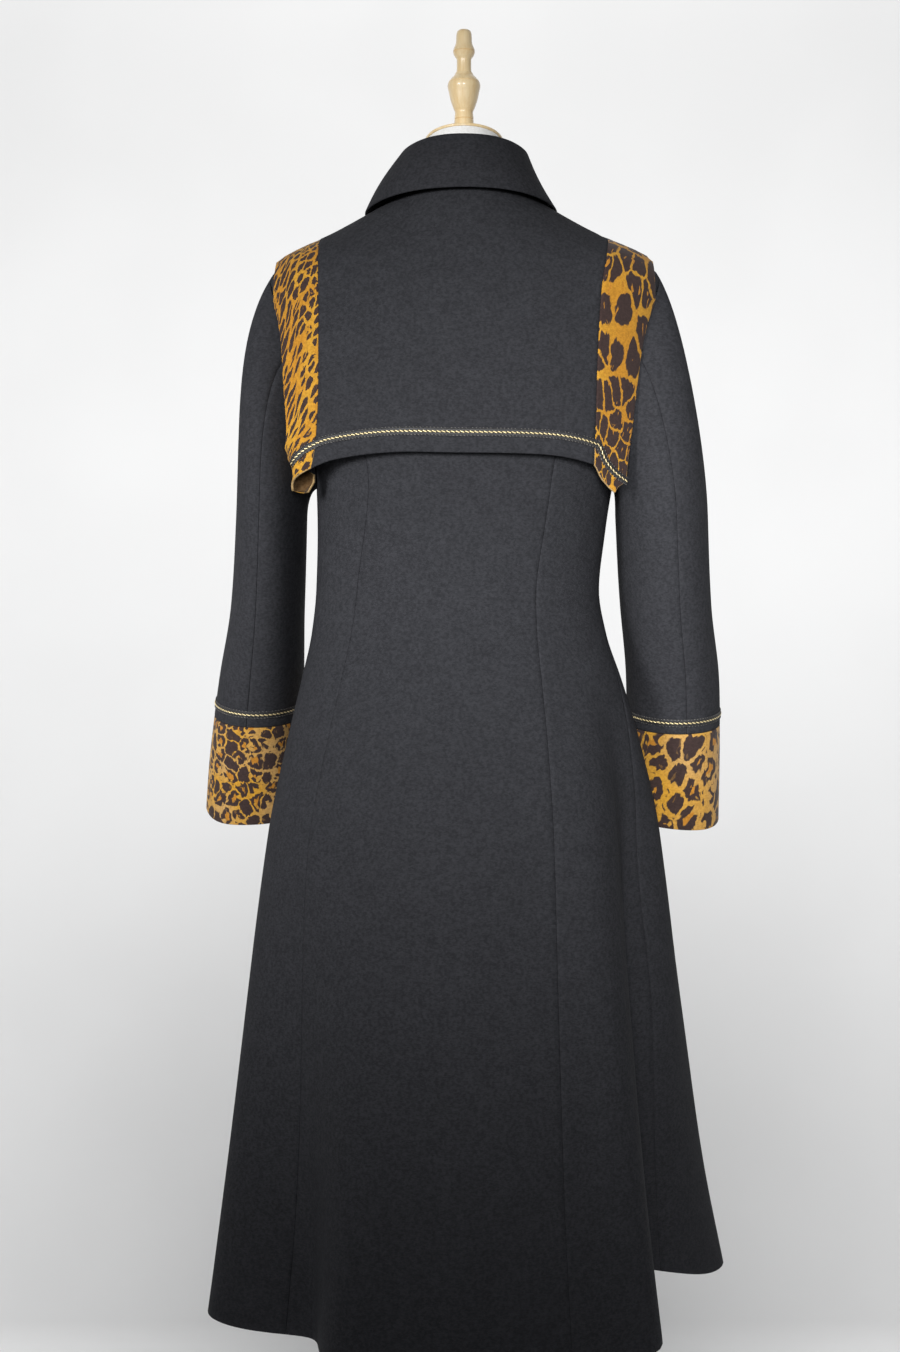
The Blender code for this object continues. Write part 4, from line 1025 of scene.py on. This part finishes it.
# The map: scale at the foot and the top of the band, how far the spots lean, and how far they keep their
# width as seen from behind where the band turns away.
BandMap = namedtuple("BandMap", "foot top lean flat")
BAND_MAPS = {"left": BandMap(1.0, 1.2, 0.16, 0.6), "right": BandMap(1.9, 1.0, -0.12, 0.0)}
MAP_SPAN = 0.15
for side in SIDES:
    grid, normals = cape_grid(band_inner(side, BAND_ROWS), outer_edges[side], 22, BAND_ROWS)
    use, up_band = BAND_MAPS[side], arc(grid, 0)
    sideways = np.abs(grid[..., 0] - grid[:, :1, 0])
    across_band = arc(grid, 1) * (1.0 - use.flat) + sideways * use.flat
    scale = use.foot + (use.top - use.foot) * ease(up_band / MAP_SPAN)
    up_scaled = np.cumsum(np.diff(up_band, axis=0, prepend=0.0) * scale, axis=0)
    uvs = xyz(across_band * scale + use.lean * up_scaled, up_scaled)
    looks = (BAND_PRINT[side], TAN_EDGE, WRONG_SIDE)
    edges = {"rims": (BAND_RIM, SEAM_RIM, SEAM_RIM, BAND_RIM), "cut_below": CUT_EDGE_TOP}
    cloth(f"cape_band_{side}", grid, normals, looks, "print", uvs=uvs, held="hung", on="cape_centre", **edges)

# %% [markdown]
# ## Pocket flaps
# A sliver of the right flap shows at the hip. Both flaps are sewn down along the top and stand off a little
# below, over the front panel whose points they are made from.

# %% Flaps
FLAP_BACK, FLAP_FRONT, FLAP_TOP, FLAP_BOTTOM = 105.0, 141.0, 0.958, 0.904
FLAP_OFF, FLAP_FLARE = 0.0030, 0.0055


def flap_point(bearing, height):
    return off_body(bearing, height, FLAP_OFF + FLAP_FLARE * (FLAP_TOP - height) / (FLAP_TOP - FLAP_BOTTOM))


for side, sign in SIDES.items():
    bearings = sign * np.linspace(FLAP_BACK, FLAP_FRONT, 34)
    grid = flap_point(bearings[None, :], np.linspace(FLAP_TOP, FLAP_BOTTOM, 14)[:, None])
    node, normals = f"pocket_flap_{side}", grid_normals(grid) * -sign
    cloth(node, grid, normals, CUFF_LOOKS[side], "print", held="hung", on=f"front_{side}")

# %% [markdown]
# ## Gold braid
# The braid is a black tape with two gold strands twisted round each other down the middle, and a fine wavy
# gimp with pale stitches along both edges. A texture could draw it, but in a close view only real strands
# catch the light. Each strand is a thin tube whose centre circles the braid's own line.

# %% Strands
BRAID_WIDTH = 0.010
TAPE_HALF, TAPE_THICKNESS = 0.0036, 0.0004
STRAND_WIDE, STRAND_HIGH = 0.00062, 0.00042
TWIST_ASIDE, TWIST_OVER, TWIST_PITCH = 0.00060, 0.00030, 0.0090
GIMP_RADIUS, GIMP_WAVE, GIMP_PITCH, STITCH_SHARE = 0.00045, 0.00030, 0.0034, {-1.0: 0.55, 1.0: 0.85}
BRAID_STEP, BRAID_SEAT = 0.0007, 0.0002


def along_path(points, normals, step, closed):
    """Evenly spaced points, normals and sideways directions along a line, and the length so far."""
    if closed:
        points, normals = np.vstack([points, points[:1]]), np.vstack([normals, normals[:1]])
    length = np.concatenate([[0.0], np.cumsum(np.linalg.norm(np.diff(points, axis=0), axis=1))])
    count = int(round(length[-1] / step))
    at = np.linspace(0.0, length[-1], count + 1)[: count if closed else count + 1]
    place_at = np.stack([np.interp(at, length, points[:, i]) for i in range(3)], axis=-1)
    over = unit(np.stack([np.interp(at, length, normals[:, i]) for i in range(3)], axis=-1))
    ahead = np.gradient(place_at, axis=0)
    if closed:
        ahead = np.roll(place_at, -1, axis=0) - np.roll(place_at, 1, axis=0)
    return place_at, over, unit(np.cross(over, ahead)), at, length[-1]


def tube(middle, over, aside, at, half_wide, half_high, sides, closed):
    """Rings of points round a line, as points, faces and a UV of length and turn."""
    turns = np.linspace(0.0, 2.0 * math.pi, sides, endpoint=False)
    ring = np.cos(turns)[:, None, None] * aside * half_wide + np.sin(turns)[:, None, None] * over * half_high
    points = np.swapaxes(middle + ring, 0, 1)
    faces = capped_faces(len(middle), sides)
    if closed:
        last = (len(middle) - 1) * sides
        faces[-2:] = [[last + i, last + (i + 1) % sides, (i + 1) % sides, i] for i in range(sides)]
    return points.reshape(-1, 3), faces, xyz(at[:, None], turns / (2.0 * math.pi)).reshape(-1, 2)


def braid(node, points, normals, closed=False):
    seat = points + normals * (CLOTH / 2 + BRAID_SEAT)
    middle, over, aside, at, length = along_path(seat, normals, BRAID_STEP, closed)
    middle = middle + over * ripple(middle)[:, None]
    twist = 2.0 * math.pi * round(length / TWIST_PITCH) / length
    nod = np.sin(at * 2.0 * math.pi * round(length / GIMP_PITCH) / length)
    half = TAPE_THICKNESS / 2
    none = np.zeros(len(at), bool)
    chunks = [(tube(middle + over * half, over, aside, at, TAPE_HALF, half, 8, closed), 0, none)]
    raised = middle + over * (TAPE_THICKNESS + STRAND_HIGH)
    for phase in (0.0, math.pi):
        turn = (at * twist + phase)[:, None]
        line = raised + TWIST_ASIDE * np.cos(turn) * aside + TWIST_OVER * np.sin(turn) * over
        turns = turn[:, 0] / (2.0 * math.pi)
        chunks.append((tube(line, over, aside, turns, STRAND_WIDE, STRAND_HIGH, 7, closed), 1, none))
    for sign, share in STITCH_SHARE.items():
        line = middle + aside * sign * (TAPE_HALF + GIMP_WAVE * nod[:, None]) + over * GIMP_RADIUS
        gimp = tube(line, over, aside, at, GIMP_RADIUS, GIMP_RADIUS, 6, closed)
        chunks.append((gimp, 0, nod * sign > share))
    points, faces, uvs, look_of_face = [], [], [], []
    start = 0
    for (chunk_points, chunk_faces, chunk_uvs), look, pale in chunks:
        sides = len(chunk_points) // len(at)
        look_of_face += [2 if pale[face[0] // sides] else look for face in chunk_faces]
        faces += [[start + corner for corner in face] for face in chunk_faces]
        points.append(chunk_points)
        uvs.append(chunk_uvs)
        start += len(chunk_points)
    points, uvs = np.concatenate(points), np.concatenate(uvs)
    settle(mesh_of(f"{node}_cord", points, faces, BRAID_LOOKS, look_of_face, uvs), node)
    print(f"{node}: {length:.3f} m of braid, {len(faces)} faces")


# %% Braid on the cape, cuffs and flaps
BRAID_ABOVE_EDGE, BRAID_CAPE_END = 0.0195, 64.0
FLAP_BRAID_RISE, FLAP_BRAID_INSET = 0.001, 0.5
BRAID_ABOVE_CUFF = {"left": 0.0140, "right": 0.0122}
STRIP = np.array([NEAR_UP, 0.0, -NEAR_UP])[:, None]
bearings = np.linspace(-BRAID_CAPE_END, BRAID_CAPE_END, 300)
braid("braid_cape", *curled(bearings, cape_edge_height(bearings) + BRAID_ABOVE_EDGE))
for side, sign in SIDES.items():
    grid = sleeve_ring(side, SLEEVE_END[side] + BRAID_ABOVE_CUFF[side] + STRIP, cuff_angles)
    braid(f"braid_cuff_{side}", grid[1], grid_normals(grid, closed=True)[1] * sign, closed=True)
    bearings = sign * np.linspace(FLAP_BACK + FLAP_BRAID_INSET, FLAP_FRONT - FLAP_BRAID_INSET, 80)
    grid = flap_point(bearings[None, :], FLAP_BOTTOM + FLAP_BRAID_RISE + BRAID_WIDTH / 2 + STRIP)
    braid(f"braid_pocket_{side}", grid[1], grid_normals(grid)[1] * -sign)

# %% [markdown]
# ## Turned pieces
# The buttons, the finial, the neck plate, the pole and the base are all turned, so one helper spins a
# profile of heights and radii. Crisp beads need close pairs of points at each corner of the profile.

# %% Turning
Turn = namedtuple("Turn", "height radius")
CRISP = 32.0


def turned(node, suffix, profile, sides, look, slot, origin=(0.0, 0.0, 0.0), axes=np.eye(3), slant=0.0):
    angles = np.linspace(0.0, 2.0 * math.pi, sides, endpoint=False)
    height, radius = np.array(profile).T[..., None]
    local = xyz(radius * np.cos(angles), radius * np.sin(angles), height)
    local[0, :, 2] -= slant * local[0, :, 1]
    points = local.reshape(-1, 3) @ np.array(axes) + np.array(origin)
    piece = mesh_of(f"{node}_{suffix}", points, capped_faces(len(profile), sides), (look,))
    piece.data.set_sharp_from_angle(angle=math.radians(CRISP))
    settle(piece, node)
    print(f"{node}: {len(profile)} rings of {sides}")


# %% Finial, neck plate, pole and base
NECK_TOP, NECK_SLANT = 1.500, 0.23
PLATE_RADIUS, PLATE_THICKNESS, PLATE_EDGE = 0.040, 0.003, 0.0010
TORSO_BOTTOM, POLE_RADIUS = 0.800, 0.0125
BASE_RADIUS, BASE_THICKNESS, BASE_EDGE, BASE_FOOT = 0.200, 0.020, 0.005, 0.001
FINIAL = (
    Turn(1.5040, 0.0098),
    Turn(1.5236, 0.0098),
    Turn(1.5243, 0.0097),
    Turn(1.5248, 0.0090),
    Turn(1.5253, 0.0097),
    Turn(1.5275, 0.0096),
    Turn(1.5295, 0.0093),
    Turn(1.5312, 0.0091),
    Turn(1.5324, 0.0092),
    Turn(1.5341, 0.0099),
    Turn(1.5366, 0.0110),
    Turn(1.5394, 0.0120),
    Turn(1.5425, 0.0131),
    Turn(1.5456, 0.0140),
    Turn(1.5498, 0.0149),
    Turn(1.5532, 0.0156),
    Turn(1.5560, 0.0164),
    Turn(1.5580, 0.0167),
    Turn(1.5600, 0.0166),
    Turn(1.5617, 0.0162),
    Turn(1.5622, 0.0153),
    Turn(1.5628, 0.0158),
    Turn(1.5650, 0.0143),
    Turn(1.5668, 0.0127),
    Turn(1.5684, 0.0110),
    Turn(1.5696, 0.0099),
    Turn(1.5710, 0.0093),
    Turn(1.5721, 0.0088),
    Turn(1.5725, 0.0078),
    Turn(1.5760, 0.0074),
    Turn(1.5850, 0.0073),
    Turn(1.5872, 0.0078),
    Turn(1.5893, 0.0096),
    Turn(1.5915, 0.0106),
    Turn(1.5933, 0.0111),
    Turn(1.5938, 0.0103),
    Turn(1.5944, 0.0111),
    Turn(1.5965, 0.0107),
    Turn(1.5990, 0.0096),
    Turn(1.6012, 0.0087),
    Turn(1.6040, 0.0081),
    Turn(1.6080, 0.0080),
    Turn(1.6120, 0.0077),
    Turn(1.6145, 0.0069),
    Turn(1.6158, 0.0054),
    Turn(1.6164, 0.0030),
)
turned("form_finial", "wood", FINIAL, 56, WOOD, "wood", slant=NECK_SLANT)
tilt = math.atan(NECK_SLANT)
level_way = (0.0, math.cos(tilt), -math.sin(tilt))
plate_axes = ((1.0, 0.0, 0.0), level_way, (0.0, math.sin(tilt), math.cos(tilt)))
plate_flat = PLATE_RADIUS - PLATE_EDGE
PLATE = tuple(
    Turn(PLATE_THICKNESS * (0.5 - 0.5 * math.cos(step)), plate_flat + PLATE_EDGE * math.sin(step))
    for step in np.linspace(0.0, math.pi, 7)
)
turned("form_neck_plate", "wood", PLATE, 72, WOOD, "wood", (0.0, 0.0, NECK_TOP + SEAM_GAP), plate_axes)
pole_rows = np.linspace(BASE_THICKNESS + SEAM_GAP, TORSO_BOTTOM - SEAM_GAP, 12)
POLE = tuple(Turn(height, POLE_RADIUS) for height in pole_rows)
turned("form_pole", "tube", POLE, 40, METAL, "stand")
base_top, base_flat = BASE_THICKNESS - BASE_EDGE, BASE_RADIUS - BASE_EDGE
BASE = (Turn(0.0, BASE_RADIUS - BASE_FOOT), Turn(BASE_FOOT, BASE_RADIUS)) + tuple(
    Turn(base_top + BASE_EDGE * math.sin(step), base_flat + BASE_EDGE * math.cos(step))
    for step in np.linspace(0.0, math.pi / 2, 7)
)
turned("form_base", "disc", BASE, 96, METAL, "stand")

# %% Buttons
BUTTON_HEIGHTS = (1.340, 1.219, 1.098, 0.977)
BUTTON_RADIUS, BUTTON_BEARING, BUTTON_CLEARANCE = 0.0125, 179.0, 0.0006
BUTTON = (
    Turn(0.0000, 0.0106),
    Turn(0.0009, 0.0119),
    Turn(0.0019, BUTTON_RADIUS),
    Turn(0.0031, 0.0122),
    Turn(0.0039, 0.0112),
    Turn(0.0040, 0.0102),
    Turn(0.0036, 0.0094),
    Turn(0.0029, 0.0086),
    Turn(0.0026, 0.0070),
    Turn(0.0025, 0.0030),
)
button_rise = CLOTH / 2 + lap_rise(BUTTON_BEARING) + BUTTON_CLEARANCE
for number, height in enumerate(BUTTON_HEIGHTS, 1):
    axis = body_normal(BUTTON_BEARING, height)
    side_way = unit(np.cross(axis, upward))
    axes = (side_way, np.cross(side_way, axis), axis)
    seat = off_body(BUTTON_BEARING, height, button_rise)
    turned(f"button_{number}", "horn", BUTTON, 40, HORN, "button", seat, axes)

# %% [markdown]
# ## The form's torso
# The torso lies inside the cloth, a few millimetres off it, and rises into a short white neck under the
# wooden plate. It is a general figure, smooth and whole, covered in jersey.

# %% Torso
Inset = namedtuple("Inset", "height inward")
TORSO_INSETS = (
    Inset(0.800, 0.036),
    Inset(0.860, 0.026),
    Inset(0.920, 0.014),
    Inset(1.000, 0.010),
    Inset(1.045, 0.009),
    Inset(1.150, 0.009),
    Inset(1.250, 0.010),
    Inset(1.315, 0.007),
    Inset(1.352, 0.0040),
    Inset(1.377, 0.0030),
    Inset(1.414, 0.0030),
)
NeckRing = namedtuple("NeckRing", "height side back front front_drop")
NECK_RINGS = (
    NeckRing(1.428, 0.0560, 0.0690, 0.0530, 0.042),
    NeckRing(1.446, 0.0470, 0.0560, 0.0450, 0.030),
    NeckRing(1.465, 0.0420, 0.0470, 0.0410, 0.012),
    NeckRing(NECK_TOP, 0.0385, 0.0385, 0.0385, 0.000),
)
TORSO_STEP, NECK_STEP, SOFT_EDGE = 0.012, 0.006, 50.0
neck_bend = NECK_RINGS[-2].height
bearings = np.arange(0.0, 360.0, 4.0)
turn = np.radians(bearings)
rows = []
for height in spread((TORSO_BOTTOM, TORSO_INSETS[-1].height), TORSO_STEP):
    rows.append(off_body(bearings, height, -smooth(height, TORSO_INSETS, "inward")))
rows[0][:, 2] = TORSO_BOTTOM
for height in spread(tuple(ring.height for ring in NECK_RINGS), NECK_STEP):
    side, back, front, front_drop = columns_at(height, NECK_RINGS)
    ahead = -np.where(np.cos(turn) > 0.0, back, front) * np.cos(turn)
    slope = NECK_SLANT * ease((height - neck_bend) / (NECK_TOP - neck_bend))
    drop = front_drop * np.clip(-np.cos(turn), 0.0, None) ** DROP_POWER
    rows.append(xyz(side * np.sin(turn), ahead, height - ahead * slope - drop))
torso = mesh_of("form_torso_jersey", np.concatenate(rows), capped_faces(len(rows), len(bearings)), (JERSEY,))
torso.data.set_sharp_from_angle(angle=math.radians(SOFT_EDGE))
settle(torso, "form_torso")
print("torso:", len(rows), "rings")

# %% [markdown]
# ## Studio
# The coat stands before a pale sweep of paper that runs from the floor up behind it. The light from above
# leaves it darker towards its foot, though its colour is graded the other way, lighter at the foot and darker
# high up, as painted light and painted shade that soften that fall. A soft light from the left and one beside
# the camera reach the coat alone, as if flags kept them off the paper, and a third reaches the paper alone,
# so that cloth and paper can be lit each to its own tone.
# The paper shows from its right side only, or it would hide the coat's front from a camera behind it. The
# camera is level at waist height, at the distance where the cuffs and the skirt overlap as they do in the
# photograph.

# %% Backdrop
SWEEP_HALF, SWEEP_FRONT, WALL, SWEEP_RADIUS, SWEEP_TOP = 4.0, -4.5, 0.80, 0.06, 3.6
FLOOR, GRADE_FOOT, GRADE_TOP = -0.001, 1.0, 1.9
# Painted light and shade: the paper is lighter at the foot and darker high up, against the fall of the paper
# light
PAPER_PAINTED_LIGHT_FOOT, PAPER_PAINTED_SHADE_TOP = 0.74, 0.53
profile = [(SWEEP_FRONT, FLOOR)]
for step in np.linspace(0.0, math.pi / 2, 16):
    back, up = SWEEP_RADIUS * (1.0 - math.sin(step)), SWEEP_RADIUS * (1.0 - math.cos(step))
    profile.append((WALL - back, FLOOR + up))
profile.append((WALL, SWEEP_TOP))
points = np.array([[x, y, z] for y, z in profile for x in (-SWEEP_HALF, SWEEP_HALF)])
PAPER, tree, shader = new_look("pale paper", Roughness=0.95)
here = add(tree, "TexCoord", out=3)
level = add(tree, "SeparateXYZ", (0, here)).node.outputs[2]
# painted light and painted shade graded by height, lighter at the foot and darker high up
painted_light_grade = ramp(level, GRADE_FOOT, GRADE_TOP, PAPER_PAINTED_LIGHT_FOOT, PAPER_PAINTED_SHADE_TOP)
painted_light_grade = sums("MULTIPLY", painted_light_grade, ramp(noise(here, 3.0, 2.0), 0.3, 0.7, 0.98, 1.02))
paint(shader, grey(painted_light_grade))
inner_side, clear = add(tree, "NewGeometry", out=6), add(tree, "BsdfTransparent")
one_sided = add(tree, "MixShader", (0, inner_side), (1, clear), (2, shader.outputs[0]))
tree.links.new(one_sided, tree.nodes["Material Output"].inputs["Surface"])
sweep = mesh_of("paper_sweep", points, grid_faces(len(profile), 2), (PAPER,))

# %% Lights
Lamp = namedtuple("Lamp", "name power size place aim beam paper")
LAMPS = (
    Lamp("key_left", 4.1, (0.9, 0.7), (-1.5, -1.75, 1.45), (-0.36, 0.0, 1.10), 31.0, "EXCLUDE"),
    Lamp("key_right", 7.0, (0.9, 0.7), (0.25, -2.3, 1.45), (0.56, 0.0, 1.06), 31.0, "EXCLUDE"),
    Lamp("paper_light", 76.0, (2.4, 0.8), (0.0, -1.6, 3.4), (0.0, 0.8, 1.20), 120.0, "INCLUDE"),
)
for lamp in LAMPS:
    data = bpy.data.lights.new(lamp.name, "AREA")
    data.shape, data.energy, data.spread = "RECTANGLE", lamp.power, math.radians(lamp.beam)
    data.size, data.size_y = lamp.size
    light = bpy.data.objects.new(lamp.name, data)
    bpy.context.scene.collection.objects.link(light)
    way = np.array(lamp.aim) - np.array(lamp.place)
    tip = math.acos(way[2] / np.linalg.norm(way)) - math.pi
    light.location = lamp.place
    light.rotation_euler = (tip, 0.0, math.atan2(way[1], way[0]) + math.pi / 2)
    receivers = bpy.data.collections.new(f"{lamp.name} receivers")
    receivers.objects.link(sweep)
    receivers.collection_objects[0].light_linking.link_state = lamp.paper
    light.light_linking.receiver_collection = receivers
WORLD_COLOUR, WORLD_STRENGTH = (0.96, 0.98, 1.0, 1.0), 0.16
world = bpy.data.worlds.new("studio")
world.use_nodes = True
background = world.node_tree.nodes["Background"]
background.inputs["Color"].default_value = WORLD_COLOUR
background.inputs["Strength"].default_value = WORLD_STRENGTH
bpy.context.scene.world = world
bpy.context.scene.view_settings.view_transform = "Standard"
print(len(LAMPS), "lights")

# %% Camera
FRAME_TALL, FOCAL_PIXELS, SENSOR = 1352, 2156.0, 36.0
CAMERA_PLACE = (-0.0143, -2.2, 0.957)
lens = bpy.data.cameras.new("camera")
lens.sensor_width = SENSOR
lens.sensor_height = SENSOR
lens.sensor_fit = "AUTO"
lens.lens = SENSOR * FOCAL_PIXELS / FRAME_TALL
camera = bpy.data.objects.new("camera", lens)
camera.location = CAMERA_PLACE
camera.rotation_euler = (math.pi / 2, 0.0, 0.0)
bpy.context.scene.collection.objects.link(camera)
bpy.context.scene.camera = camera
print("lens", round(lens.lens, 2), "mm")

# %% [markdown]
# ## Pieces
# The finished pieces are counted.

# %% Count of pieces
print(len(made_pieces), "pieces")
